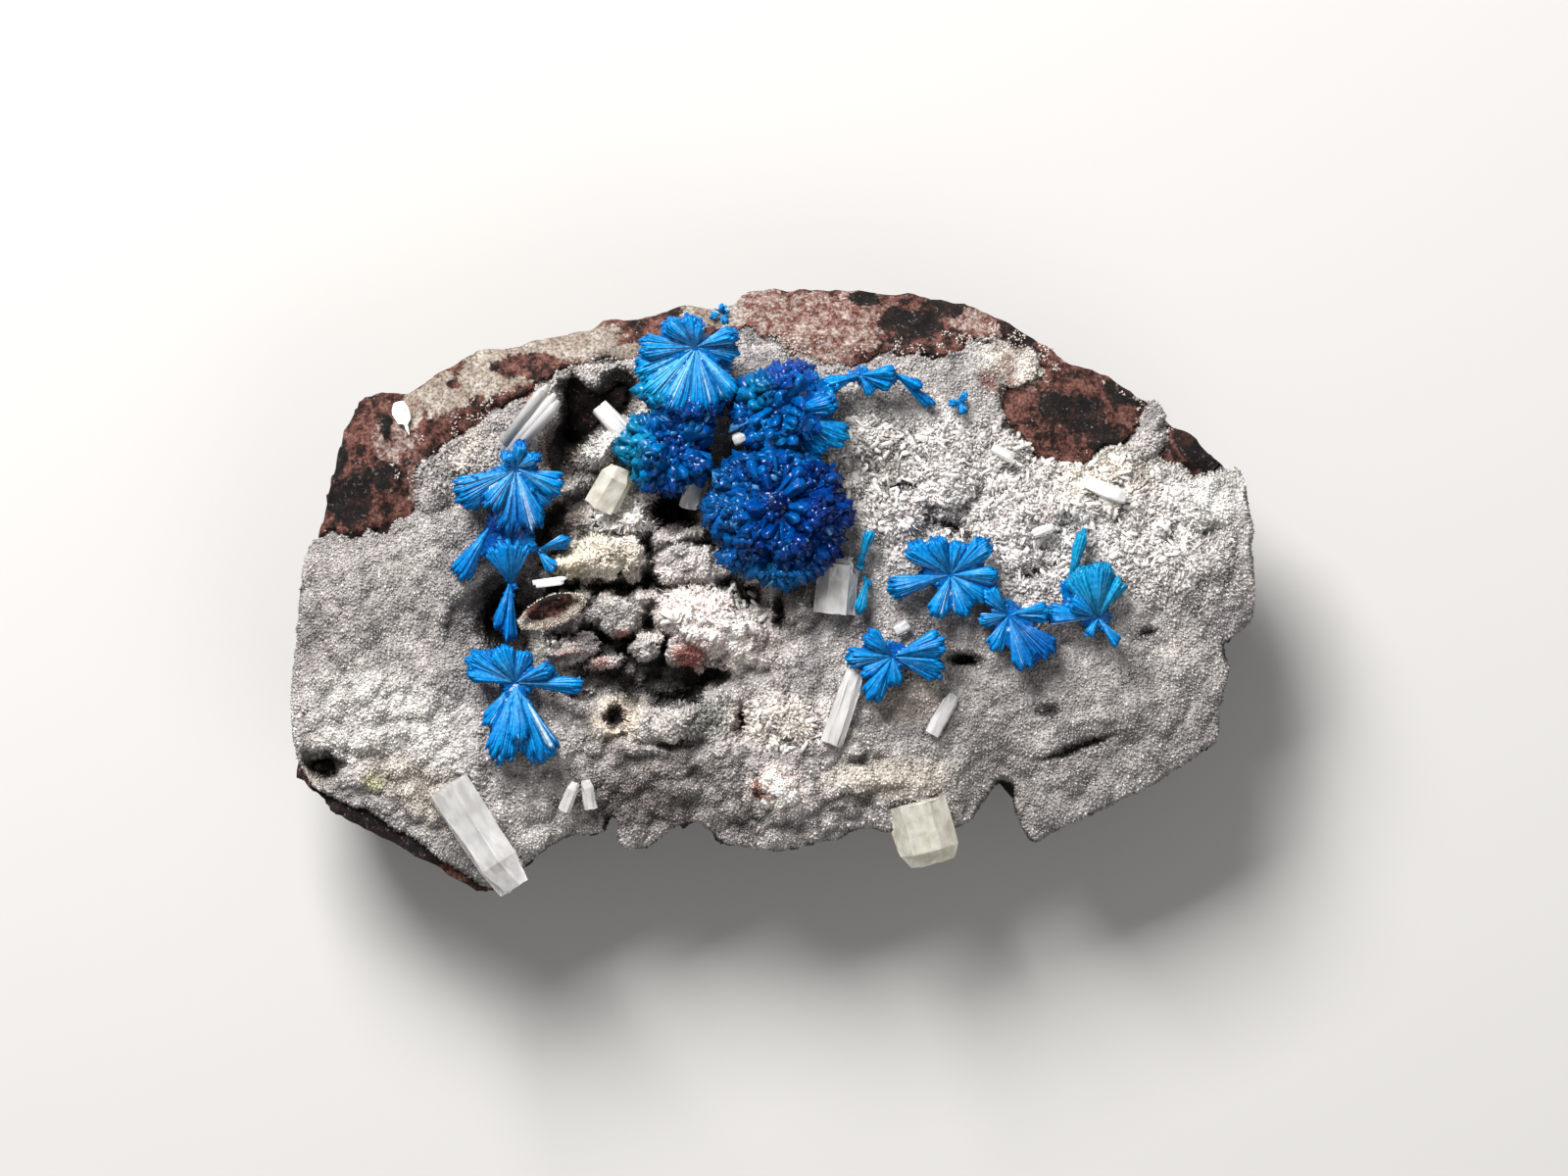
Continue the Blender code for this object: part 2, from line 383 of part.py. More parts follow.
def frange(low, high, step):
    return [low + i * step for i in range(int((high - low) / step) + 1)]


def triangulate(outline, borders, spacing, longest, seed):
    """A net of triangles over the outline, with the borders among its edges."""
    points, edges = [], []
    for path, closed in [(outline, True)] + [(border, False) for border in borders]:
        first = len(points)
        dense = densify(path, longest)
        if not closed:
            dense = dense[: dense.index(path[-1]) + 1] if path[-1] in dense else dense
        points += dense
        ends = len(dense) if closed else len(dense) - 1
        edges += [(first + i, first + (i + 1) % len(dense)) for i in range(ends)]
    points += scatter(outline, spacing, seed, points)
    net = delaunay_2d_cdt([Vector(p) for p in points], edges, [], 0, 1e-4)
    corners = [tuple(v) for v in net[0]]
    faces = []
    for face in net[2]:
        x = sum(corners[i][0] for i in face) / 3
        y = sum(corners[i][1] for i in face) / 3
        if inside(x, y, outline):
            faces.append(tuple(face))
    return corners, faces


def sheet(corners, faces, height):
    """A bmesh of the net's triangles, each corner raised to height(x, y)."""
    bm = bmesh.new()
    raised = {}
    for face in faces:
        for i in face:
            if i not in raised:
                x, y = corners[i]
                raised[i] = bm.verts.new((x, y, height(x, y)))
        bm.faces.new([raised[i] for i in face])
    return bm


def thicken(bm, floor):
    """Closes the sheet downwards: its copy is dropped to floor(x, y, z)."""
    below = bmesh.ops.extrude_face_region(bm, geom=bm.faces[:])["geom"]
    for v in below:
        if isinstance(v, bmesh.types.BMVert):
            v.co.z = floor(v.co.x, v.co.y, v.co.z)


def to_object(bm, name, collection):
    """Ends the bmesh as an object in metres, with its faces turned out."""
    bmesh.ops.scale(bm, vec=(MM, MM, MM), verts=bm.verts[:])
    bmesh.ops.recalc_face_normals(bm, faces=bm.faces[:])
    mesh = bpy.data.meshes.new(name)
    bm.to_mesh(mesh)
    bm.free()
    made = bpy.data.objects.new(name, mesh)
    collection.objects.link(made)
    return made


def as_cutter(made):
    made.hide_render = True
    made.display_type = "WIRE"
    return made


def grown(made, by, collection):
    """A cutter a little larger all round than the object."""
    cutter = bpy.data.objects.new(made.name + "_room", settled_mesh(made))
    collection.objects.link(cutter)
    swollen = cutter.modifiers.new("Swell", "DISPLACE")
    swollen.strength = by * MM
    swollen.mid_level = 0.0
    cutter.data = settled_mesh(cutter)
    cutter.modifiers.clear()
    return as_cutter(cutter)


def settled_mesh(made):
    bpy.context.view_layer.update()
    graph = bpy.context.evaluated_depsgraph_get()
    return bpy.data.meshes.new_from_object(made.evaluated_get(graph))


def boolean(made, other, operation, solver="EXACT"):
    """Joins or cuts the object's mesh with the other's."""
    change = made.modifiers.new("Join or cut", "BOOLEAN")
    change.operation = operation
    change.solver = solver
    change.object = other
    mesh = settled_mesh(made)
    made.modifiers.clear()
    made.data = mesh


def islands(bm):
    """The bmesh's separate bodies, as lists of vertices."""
    left = set(bm.verts)
    bodies = []
    while left:
        body, edge = [], [left.pop()]
        while edge:
            v = edge.pop()
            body.append(v)
            for link in v.link_edges:
                other = link.other_vert(v)
                if other in left:
                    left.remove(other)
                    edge.append(other)
        bodies.append(body)
    return bodies


def span(body):
    return sum(max(v.co[i] for v in body) - min(v.co[i] for v in body) for i in range(3))


def keep_main_body(made):
    """Drops the crumbs that a cut leaves behind, and merges its double points."""
    bm = bmesh.new()
    bm.from_mesh(made.data)
    bodies = sorted(islands(bm), key=span)
    for crumb in bodies[:-1]:
        bmesh.ops.delete(bm, geom=crumb, context="VERTS")
    bmesh.ops.dissolve_limit(
        bm, angle_limit=math.radians(0.1), verts=bm.verts[:], edges=bm.edges[:])
    bmesh.ops.triangulate(bm, faces=bm.faces[:])
    bm.to_mesh(made.data)
    bm.free()


def principled(name, colour, roughness, transmission=0.0, ior=1.5):
    material = bpy.data.materials.new(name)
    material.use_nodes = True
    shader = material.node_tree.nodes["Principled BSDF"]
    shader.inputs["Base Color"].default_value = (*colour, 1)
    shader.inputs["Roughness"].default_value = roughness
    shader.inputs["Metallic"].default_value = 0.0
    shader.inputs["Transmission Weight"].default_value = transmission
    shader.inputs["IOR"].default_value = ior
    return material


def near_feature(x, y):
    return any(oval(x, y, f, FEATURE_MARGIN) < 1.2 for f in LUMPS[:FINE_LUMPS] + PITS)


def face_spacing(x, y):
    return FEATURE_SPACING if near_feature(x, y) else FACE_SPACING


def rock_spacing(x, y):
    return ROCK_SPACING if inside(x, y, CRUST_OUTLINE) else BARE_ROCK_SPACING


def build_basalt(collection):
    """The slab: a faceted top, and broken sides that draw in towards the flat underside."""
    corners, faces = triangulate(ROCK_OUTLINE, [], rock_spacing, LONGEST_ROCK_EDGE, 5)
    bm = sheet(corners, faces, rock_height)
    ring = [e for e in bm.edges if e.is_boundary]
    for level, (height, size) in enumerate(ROCK_RINGS):
        grown_ring = bmesh.ops.extrude_edge_only(bm, edges=ring)["geom"]
        for v in (g for g in grown_ring if isinstance(g, bmesh.types.BMVert)):
            before = ROCK_RINGS[level - 1][1] if level else 1.0
            push = 1 + RING_ROUGHNESS / 45 * noise.noise(Vector((v.co.x / 6, v.co.y / 6, height)))
            v.co.x *= size / before * push
            v.co.y *= size / before * push
            rough = 1.4 * noise.noise(Vector((v.co.x / 5, v.co.y / 5, 9.0 + height)))
            v.co.z = height + (rough if height > 0 else 0.0)
        ring = [g for g in grown_ring if isinstance(g, bmesh.types.BMEdge)]
        for _ in range(ROCK_SMOOTHING * level):
            bmesh.ops.smooth_vert(
                bm, verts=[g for g in grown_ring if isinstance(g, bmesh.types.BMVert)],
                factor=0.5, use_axis_x=True, use_axis_y=True, use_axis_z=False)
    bmesh.ops.holes_fill(bm, edges=ring, sides=0)
    return to_object(bm, "basalt_matrix", collection)


def build_face(collection, name, height, floor, loop):
    """A solid under the druse face, or under the part of it that lies in the loop."""
    corners, faces = FACE_NET
    chosen = []
    for face in faces:
        x = sum(corners[i][0] for i in face) / 3
        y = sum(corners[i][1] for i in face) / 3
        if inside(x, y, loop):
            chosen.append(face)
    bm = sheet(corners, chosen, height)
    thicken(bm, floor)
    return to_object(bm, name, collection)


def skirt_floor(x, y, z):
    """Lower than the basalt everywhere, and with an uneven hem where it hangs over the sides."""
    hem = SKIRT * (1 + 0.5 * noise.noise(Vector((x / 4, y / 4, 2.2))))
    return min(rock_height(x, y), swell(x, y) - CRUST_THICKNESS) - hem


def ground(x, y):
    """The druse, or the basalt where that is bare. The rim counts as druse."""
    on_rim = distance_to_path(x, y, CRUST_OUTLINE, True) < 0.05
    return face_height(x, y) if on_rim or inside(x, y, CRUST_OUTLINE) else rock_height(x, y)


def clear_height(x, y):
    return ground(x, y) + GAP


def add_fan(bm, hub, fan):
    """One sheaf of crystals: a wedge that widens from the hub to a toothed rim."""
    direction, rise, length, spread, rim = fan
    teeth = 3 if length > LONG_FAN else 2
    made = []
    steps = 2 * teeth
    waist = 0.16 * length
    made.append(bm.verts.new((0.0, -0.35 * waist, 0.0)))
    for i in range(steps + 1):
        angle = math.radians(spread) * (2 * i / steps - 1)
        reach = length * (1 - 0.10 * (2 * i / steps - 1) ** 2) * (1.0 if i % 2 else 0.90)
        made.append(bm.verts.new((reach * math.cos(angle), reach * math.sin(angle), 0.0)))
    made.append(bm.verts.new((0.0, 0.35 * waist, 0.0)))
    bottom = bm.faces.new(made)
    top = bmesh.ops.extrude_face_region(bm, geom=[bottom])["geom"]
    upper = [g for g in top if isinstance(g, bmesh.types.BMVert)]
    for v in made + upper:
        share = min(1.0, v.co.x / length)
        full = rim * (HUB_SHARE + (1 - HUB_SHARE) * share)
        v.co.z += FAN_OVER * full if v in upper else -FAN_UNDER * full
    turn = Matrix.Rotation(math.radians(direction), 4, "Z") @ Matrix.Rotation(-math.radians(rise), 4, "Y")
    bmesh.ops.transform(bm, matrix=Matrix.Translation(hub) @ turn, verts=made + upper)


def add_ball(bm, hub, ball):
    dx, dy, dz, rx, ry, rz = ball
    place = Matrix.Translation(Vector(hub) + Vector((dx, dy, dz))) @ Matrix.Diagonal((rx, ry, rz, 1))
    made = bmesh.ops.create_icosphere(bm, subdivisions=1, radius=1.0, matrix=place)["verts"]
    for v in made:
        out = v.co - (Vector(hub) + Vector((dx, dy, dz)))
        v.co += out * 0.10 * noise.noise(v.co / 1.3)


def build_cavansite(name, hubs, collection, surface, neighbours):
    """Fans and balls joined in one solid, and cut where they meet what they grew on."""
    solids = []
    for group in hubs:
        x, y, over = group["hub"]
        hub = (x, y, swell(x, y) + over)
        solids += [(add_fan, hub, fan) for fan in group["fans"]]
        solids += [(add_ball, hub, ball) for ball in group["balls"]]
    made = None
    for make, hub, form in solids:
        bm = bmesh.new()
        make(bm, hub, form)
        piece = to_object(bm, name if made is None else name + "_piece", collection)
        if made is None:
            made = piece
        else:
            boolean(made, piece, "UNION", "MANIFOLD")
            bpy.data.objects.remove(piece)
    cut_to_fit(made, surface, neighbours)
    return made


def build_crystal(name, form, collection, surface, neighbours):
    """A six-sided prism, flattened, with one end drawn in to a chisel edge."""
    x, y, over, direction, rise, roll, length, width, thick, taper = form
    bm = bmesh.new()
    verts = bmesh.ops.create_cone(
        bm, cap_ends=True, segments=6, radius1=0.5, radius2=0.5, depth=1.0)["verts"]
    bmesh.ops.rotate(bm, cent=(0, 0, 0), matrix=Matrix.Rotation(math.radians(90), 3, "Y"), verts=verts)
    bmesh.ops.bisect_plane(bm, geom=bm.verts[:] + bm.edges[:] + bm.faces[:],
                           plane_co=(0.5 - taper, 0, 0), plane_no=(1, 0, 0))
    for v in bm.verts:
        if v.co.x > 0.49:
            v.co.z *= 0.25
            v.co.y *= 0.72
    bmesh.ops.scale(bm, vec=(length, width, thick / 0.866), verts=bm.verts[:])
    turn = Matrix.Rotation(math.radians(direction), 4, "Z") @ Matrix.Rotation(-math.radians(rise), 4, "Y")
    place = Matrix.Translation((x, y, swell(x, y) + over)) @ turn
    bmesh.ops.transform(bm, matrix=place @ Matrix.Rotation(math.radians(roll), 4, "X"), verts=bm.verts[:])
    made = to_object(bm, name, collection)
    cut_to_fit(made, surface, neighbours)
    return made


def build_shell(collection, surface, neighbours):
    """A trough-shaped plate, pointed at both ends."""
    x, y, over, direction, tilt, length, width, thick, sag = SHELL
    bm = bmesh.new()
    bmesh.ops.create_grid(bm, x_segments=5, y_segments=2, size=0.5)
    for v in bm.verts:
        along, across = 2 * v.co.x, 2 * v.co.y
        v.co = (0.5 * length * along, 0.5 * width * across * (1 - 0.75 * along * along),
                sag * across * across + 0.4 * sag * along * along)
    bmesh.ops.recalc_face_normals(bm, faces=bm.faces[:])
    bmesh.ops.solidify(bm, geom=bm.faces[:], thickness=thick)
    turn = Matrix.Rotation(math.radians(direction), 4, "Z") @ Matrix.Rotation(math.radians(tilt), 4, "X")
    place = Matrix.Translation((x, y, swell(x, y) + over)) @ turn
    bmesh.ops.transform(bm, matrix=place, verts=bm.verts[:])
    made = to_object(bm, "basalt_shell_fragment", collection)
    cut_to_fit(made, surface, neighbours)
    return made


def boxes_meet(a, b):
    def box(made):
        cs = [v.co for v in made.data.vertices]
        return [(min(c[i] for c in cs), max(c[i] for c in cs)) for i in range(3)]
    return all(p[0] < q[1] and q[0] < p[1] for p, q in zip(box(a), box(b)))


def cut_to_fit(made, surface, neighbours):
    boolean(made, surface, "DIFFERENCE", "MANIFOLD")
    for neighbour in neighbours:
        if boxes_meet(made, neighbour):
            boolean(made, neighbour, "DIFFERENCE", "MANIFOLD")
    keep_main_body(made)


for leftover in list(bpy.data.objects):
    bpy.data.objects.remove(leftover)

specimen = bpy.data.collections.new("cavansite_specimen")
cutters = bpy.data.collections.new("cutters")
bpy.context.scene.collection.children.link(specimen)
bpy.context.scene.collection.children.link(cutters)

BASALT = principled("red_brown_basalt", (0.13, 0.045, 0.04), 0.85)
DRUSE = principled("pale_druse", (0.55, 0.52, 0.50), 0.55)
CAVANSITE = principled("blue_cavansite", (0.01, 0.17, 0.62), 0.25)
COLOURLESS = principled("colourless_crystal", (0.85, 0.84, 0.80), 0.15, 0.8, 1.5)

FACE_NET = triangulate(OUTLINE, [TOP_BORDER_PATH, RIGHT_BORDER_PATH], face_spacing, LONGEST_FACE_EDGE, 11)

basalt = build_basalt(specimen)
basalt.data.materials.append(BASALT)

basalt_room = grown(basalt, CRUST_GAP, cutters)
crust = build_face(specimen, "druse_crust", face_height, skirt_floor, CRUST_OUTLINE)
boolean(crust, basalt_room, "DIFFERENCE")
keep_main_body(crust)
crust.data.materials.append(DRUSE)

surface = as_cutter(build_face(cutters, "face_room", clear_height, lambda x, y, z: 4.0, OUTLINE))

rooms = [basalt_room]
for name, hubs in CAVANSITES.items():
    made = build_cavansite(name, hubs, specimen, surface, rooms)
    made.data.materials.append(CAVANSITE)
    rooms.append(grown(made, GAP, cutters))
shell = build_shell(specimen, surface, rooms)
shell.data.materials.append(BASALT)
rooms.append(grown(shell, GAP, cutters))
for name, form in CRYSTALS.items():
    made = build_crystal(name, form, specimen, surface, rooms)
    made.data.materials.append(COLOURLESS)
    rooms.append(grown(made, GAP, cutters))
for made in specimen.objects:
    print(made.name, len(made.data.polygons), "faces")
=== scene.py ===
# %% [markdown]
# A cavansite hand specimen, dressed for its portrait.
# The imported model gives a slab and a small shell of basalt, one crust of druse, ten groups of blue
# crystals and eighteen clear ones, all as plain faceted solids. This lesson grows the fine detail
# on them: tens of thousands of tiny druse crystals, thousands of blue blades, and mottled stone.
# Everything is worked out from the solids' places, so the detail sits where the solids are.

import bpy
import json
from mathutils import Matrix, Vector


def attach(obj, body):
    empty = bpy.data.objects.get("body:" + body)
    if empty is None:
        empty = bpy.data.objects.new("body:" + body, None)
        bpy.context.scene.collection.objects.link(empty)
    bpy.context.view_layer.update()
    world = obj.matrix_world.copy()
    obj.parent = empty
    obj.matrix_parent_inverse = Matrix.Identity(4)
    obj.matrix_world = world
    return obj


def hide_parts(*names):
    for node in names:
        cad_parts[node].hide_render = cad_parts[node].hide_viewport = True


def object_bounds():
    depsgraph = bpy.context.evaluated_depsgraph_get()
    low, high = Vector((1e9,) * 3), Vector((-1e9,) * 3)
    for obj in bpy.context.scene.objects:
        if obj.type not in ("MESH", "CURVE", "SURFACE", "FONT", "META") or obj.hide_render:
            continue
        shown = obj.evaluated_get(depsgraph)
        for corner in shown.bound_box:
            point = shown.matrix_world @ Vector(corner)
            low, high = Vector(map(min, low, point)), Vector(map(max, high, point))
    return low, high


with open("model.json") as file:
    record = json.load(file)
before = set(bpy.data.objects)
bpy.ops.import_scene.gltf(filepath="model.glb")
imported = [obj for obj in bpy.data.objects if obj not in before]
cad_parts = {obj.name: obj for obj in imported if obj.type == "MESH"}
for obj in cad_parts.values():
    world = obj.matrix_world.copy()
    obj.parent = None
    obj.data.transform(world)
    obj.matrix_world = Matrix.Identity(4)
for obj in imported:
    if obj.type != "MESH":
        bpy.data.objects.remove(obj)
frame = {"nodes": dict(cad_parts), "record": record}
cad_box = [list(corner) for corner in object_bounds()]
print("solids:", len(frame["nodes"]))

# %% Tools of the trade
import json
import math
from collections import namedtuple

import bmesh
import bpy
import numpy as np
from mathutils import Matrix, Vector, noise
from mathutils.bvhtree import BVHTree

MM = 0.001
BOX = np.array(cad_box) / MM
UP = Vector((0, 0, 1))
TINY = 1e-9           # stands in for a length of nothing where it would be divided by
chance = np.random.default_rng(41)


def hex_colour(text):
    """The hex value, by the sRGB curve, as linear red, green, blue and a full alpha."""
    parts = [int(text[i:i + 2], 16) / 255 for i in (1, 3, 5)]
    return (*(c / 12.92 if c <= 0.04045 else ((c + 0.055) / 1.055) ** 2.4 for c in parts), 1.0)


def dye(text):
    """The same as three numbers in an array, for painting corners."""
    return np.array(hex_colour(text)[:3])


def clamp(values, low=0, high=1):
    return np.clip(values, low, high)


def oval(x, y, cx, cy, half_length, half_width, turn=0.0):
    """How far out each point is in an oval patch: 0 at its middle, 1 at its rim. The patch is its
    middle and its two half-sizes in mm, and its turn in degrees."""
    c, s = math.cos(math.radians(turn)), math.sin(math.radians(turn))
    along = ((x - cx) * c + (y - cy) * s) / half_length
    across = (-(x - cx) * s + (y - cy) * c) / half_width
    return np.sqrt(along ** 2 + across ** 2)


def soft_patch(x, y, patch, edge=0.35):
    """1 inside an oval patch, 0 outside, with a soft edge."""
    return clamp((1 + edge - oval(x, y, *patch)) / (2 * edge))


def any_patch(x, y, patches, edge):
    """The strongest of some soft patches at each point."""
    return np.max([soft_patch(x, y, patch, edge) for patch in patches], axis=0)


def pattern_places(points, size, shift):
    """Where the points lie in a noise pattern of this size in mm, shifted along X."""
    return (Vector((x / size + shift, y / size, z / size)) for x, y, z in points)


def wander(points, size, shift=0.0):
    """Smooth noise from -1 to 1 at each point, with bumps of this size in mm."""
    return np.array([noise.noise(place) for place in pattern_places(points, size, shift)])


def waved(base, points, *waves):
    """The base plus smooth noise: each wave is a height, the size of its bumps and a shift."""
    for height, size, *shift in waves:
        base = base + height * wander(points, size, *shift)
    return base


def knobs(points, size, shift=0.0):
    """Round knobs of this size in mm: 1 on top of each, about 0 in the creases between them."""
    near = [noise.voronoi(place)[0][0] for place in pattern_places(points, size, shift)]
    return 1 - 1.6 * np.array(near) ** 2


def new_object(name, data):
    made = bpy.data.objects.new(name, data)
    bpy.context.scene.collection.objects.link(made)
    return made


print("one millimetre is", MM, "m")

# %% [markdown]
# Each stone skin starts from its solid. A merged copy is remeshed into small even squares, so that
# it can be pushed and pulled like clay. The remesh is a modifier whose result is kept as a mesh:
# no live modifier is left behind, and the solid itself isn't touched.


# %% A fine skin over a solid
SAME_PLACE = 0.002    # mm within which corners are joined


def merged_copy(node, name):
    """A copy of a solid with its loose triangles joined, as a new object."""
    bm = bmesh.new()
    bm.from_mesh(frame["nodes"][node].data)
    bmesh.ops.remove_doubles(bm, verts=bm.verts[:], dist=SAME_PLACE * MM)
    mesh = bpy.data.meshes.new(name)
    bm.to_mesh(mesh)
    bm.free()
    return new_object(name, mesh)


def fine_skin(node, name, square, rounds):
    """A closed skin of even squares of this size in mm, smoothed this many rounds."""
    piece = merged_copy(node, name)
    remesh = piece.modifiers.new("Even squares", "REMESH")
    remesh.mode = "VOXEL"
    remesh.voxel_size = square * MM
    smooth = piece.modifiers.new("Soften", "SMOOTH")
    smooth.factor = 0.5
    smooth.iterations = rounds
    graph = bpy.context.evaluated_depsgraph_get()
    mesh = bpy.data.meshes.new_from_object(piece.evaluated_get(graph))
    piece.modifiers.clear()
    piece.data = mesh
    return piece


def places(mesh):
    """The mesh's corners in mm and their normals, as arrays."""
    count = len(mesh.vertices)
    spots, normals = np.empty(count * 3), np.empty(count * 3)
    mesh.vertices.foreach_get("co", spots)
    mesh.vertices.foreach_get("normal", normals)
    return spots.reshape(-1, 3) / MM, normals.reshape(-1, 3)


def ray_tree(mesh):
    """The mesh in mm, ready to be hit by rays."""
    spots, _ = places(mesh)
    return BVHTree.FromPolygons(spots.tolist(), [list(p.vertices) for p in mesh.polygons])


def put_places(mesh, spots):
    """Puts the corners back, none of them outside the solids' own box."""
    mesh.vertices.foreach_set("co", (np.clip(spots, *BOX) * MM).ravel())
    mesh.update()


def paint(mesh, colours, name="tint"):
    """Stores a linear colour at each corner."""
    layer = mesh.color_attributes.new(name, "FLOAT_COLOR", "POINT")
    rgba = np.ones((len(colours), 4))
    rgba[:, :3] = colours
    layer.data.foreach_set("color", rgba.ravel())


def finish_piece(piece, material, slot, *nodes):
    """Rides on the one body, stands for its solids and takes its material."""
    piece.data.materials.clear()
    piece.data.materials.append(material)
    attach(piece, "root")
    if nodes:
        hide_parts(*nodes)
    corners = np.empty(len(piece.data.polygons), np.int32)
    piece.data.polygons.foreach_get("loop_total", corners)
    print(piece.name, int((corners - 2).sum()), "triangles")


# %% [markdown]
# One small helper adds every shader node: its kind, its settings, its fixed inputs, its links and,
# for a colour ramp, its stops. Sizes of patterns are given in millimetres, because Object
# coordinates here are in metres.


# %% The helper for materials
def add_node(tree, kind, settings={}, inputs={}, links={}, stops=()):
    node = tree.nodes.new("ShaderNode" + kind)
    for key, value in settings.items():
        setattr(node, key, value)
    for key, value in inputs.items():
        node.inputs[key].default_value = value
    for key, socket in links.items():
        tree.links.new(socket, node.inputs[key])
    if stops:
        row = node.color_ramp.elements
        row[0].position, row[1].position = stops[0][0], stops[-1][0]
        for place, _ in stops[1:-1]:
            row.new(place)
        for element, (_, colour) in zip(row, stops):
            element.color = hex_colour(colour)
    return node


def new_material(name, roughness, ior, transmission=0.0):
    material = bpy.data.materials.new(name)
    material.use_nodes = True
    shader = material.node_tree.nodes["Principled BSDF"]
    shader.inputs["Roughness"].default_value = roughness
    shader.inputs["IOR"].default_value = ior
    shader.inputs["Transmission Weight"].default_value = transmission
    return material, material.node_tree, shader


def grain(size):
    """The noise scale that gives bumps of this size in mm."""
    return 1 / (size * MM)


MIX_COLOUR = {"data_type": "RGBA"}
MULTIPLY_COLOUR = {"data_type": "RGBA", "blend_type": "MULTIPLY"}
FACTOR, FIRST, SECOND, MIXED = 0, 6, 7, 2     # the sockets of a Mix node that blends colours

# %% [markdown]
# The druse crust is a lumpy bed for its crystals. Left of its middle it breaks open into a vug: a
# heap of rounded lumps with near-black gaps between them. The solid gives the vug's depth and its
# largest lumps. Here each lump is a dome that rises steeply from a common dark floor, and the
# highest dome wins at every place, which is what leaves sharp crevices where two of them meet.

# %% The heap of lumps in the vug
FACE = 20.5           # the height of the face's broad form, as in the solids
SIDES = 12.0          # the height in mm under which a place is on a side and not on the face
VUG, VUG_EDGE = (-12.8, -1.9, 11.6, 9.5), 0.09
VUG_FLOOR = -5.4      # heights here and below are in mm over the face's broad form
GRAVEL = 1.6          # the height of the small knobs on the vug's floor
# Each lump, swell or sink is an oval patch and then its top, its rise or its depth.
BOULDERS = [
    (-14.6, 7.8, 4, 2.2, -8, 1.6), (-17.7, 3.5, 4.3, 3, 12, 2.6), (-20.4, 2.7, 2.2, 1.9, 0, 2),
    (-14.2, 3.5, 1.6, 2.8, 6, 2), (-8.7, 2.9, 4.1, 2.8, -12, 1.6), (-9.9, 5.6, 3, 2, 0, 1),
    (-6.3, -3.2, 6.8, 4.3, -20, 3.6), (-2.4, -6.6, 3.4, 3, 0, 2.6), (-8.4, -6.2, 2.5, 2.2, 0, 1.7),
    (-15.8, -2.3, 3.5, 2.6, -6, 0.7), (-12.8, -5.4, 1.7, 1.8, 0, 1.5), (-3, 3, 3.6, 2.8, 0, 0.9),
    (-21, -2.6, 2.2, 1.9, 0, -0.8), (-21.2, -6.1, 3.7, 1.6, 14, 1), (-17.4, -7.3, 2.1, 1, 6, -0.6),
    (-23.6, -8.4, 2, 1.1, 0, -1.4), (-11.9, -1.2, 1.3, 1.9, 0, -0.5),
    (-13.6, -0.5, 1.4, 1.1, 0, 0.3), (-19, -0.3, 1.4, 0.9, 0, -1.2),
    (-23.6, 1.6, 1.3, 1.2, 0, -1.6), (-20.6, -10.2, 2.6, 1, 0, -1.2),
]
SWELLS = [
    (2.8, -1.9, 1.8, 2.2, 0, 1.2), (-13.2, -13.2, 2.4, 1.7, 0, 1), (-10.4, -13.8, 1.9, 2.1, 0, 1.1),
    (-13.7, -15.8, 2.6, 1.2, 0, 0.6), (-7.7, -13.2, 2.1, 2.1, 0, 0.5), (0.4, -13, 4.3, 2.7, 0, 0.7),
    (-16.6, -12.9, 2.1, 2.1, 0, 0.9), (-18.6, -15.4, 2.6, 1.8, 0, 0.6),
    (-20.8, -12.6, 2.4, 1.8, 0, 0.5), (-8.4, -16.8, 3, 1.6, 0, 0.5), (-3.2, -17, 3.2, 2, 0, 0.6),
    (2.6, -8.2, 2.6, 2.2, 0, 0.6), (-23.2, -15.6, 2.6, 2.4, 0, 0.5), (-5.4, -15, 1.7, 1.9, 0, 0.4),
    (6.6, -16.4, 3, 1.4, 0, 0.4), (-15, -19.6, 2.6, 1.8, 0, 0.5), (-9.6, -20.4, 2.4, 1.8, 0, 0.5),
    (14.6, -9.6, 2.4, 1.8, 0, 0.5), (-36, -14, 3.6, 2.4, 0, 0.5), (-41.4, -9.6, 3.2, 2.6, 0, 0.5),
    (-33.4, -8.2, 2.6, 2.2, 0, 0.4), (-40.2, -15, 2, 1.8, 0, 0.4), (-31.4, -17, 2.2, 2, 0, 0.5),
    (-44, 1, 3.4, 2.4, 0, 0.4), (22.4, 14.4, 3, 1.8, 0, 0.5), (30.4, 9, 3.4, 1.8, -15, 0.5),
    (16.6, 9.6, 2.8, 1.4, 0, 0.4),
]
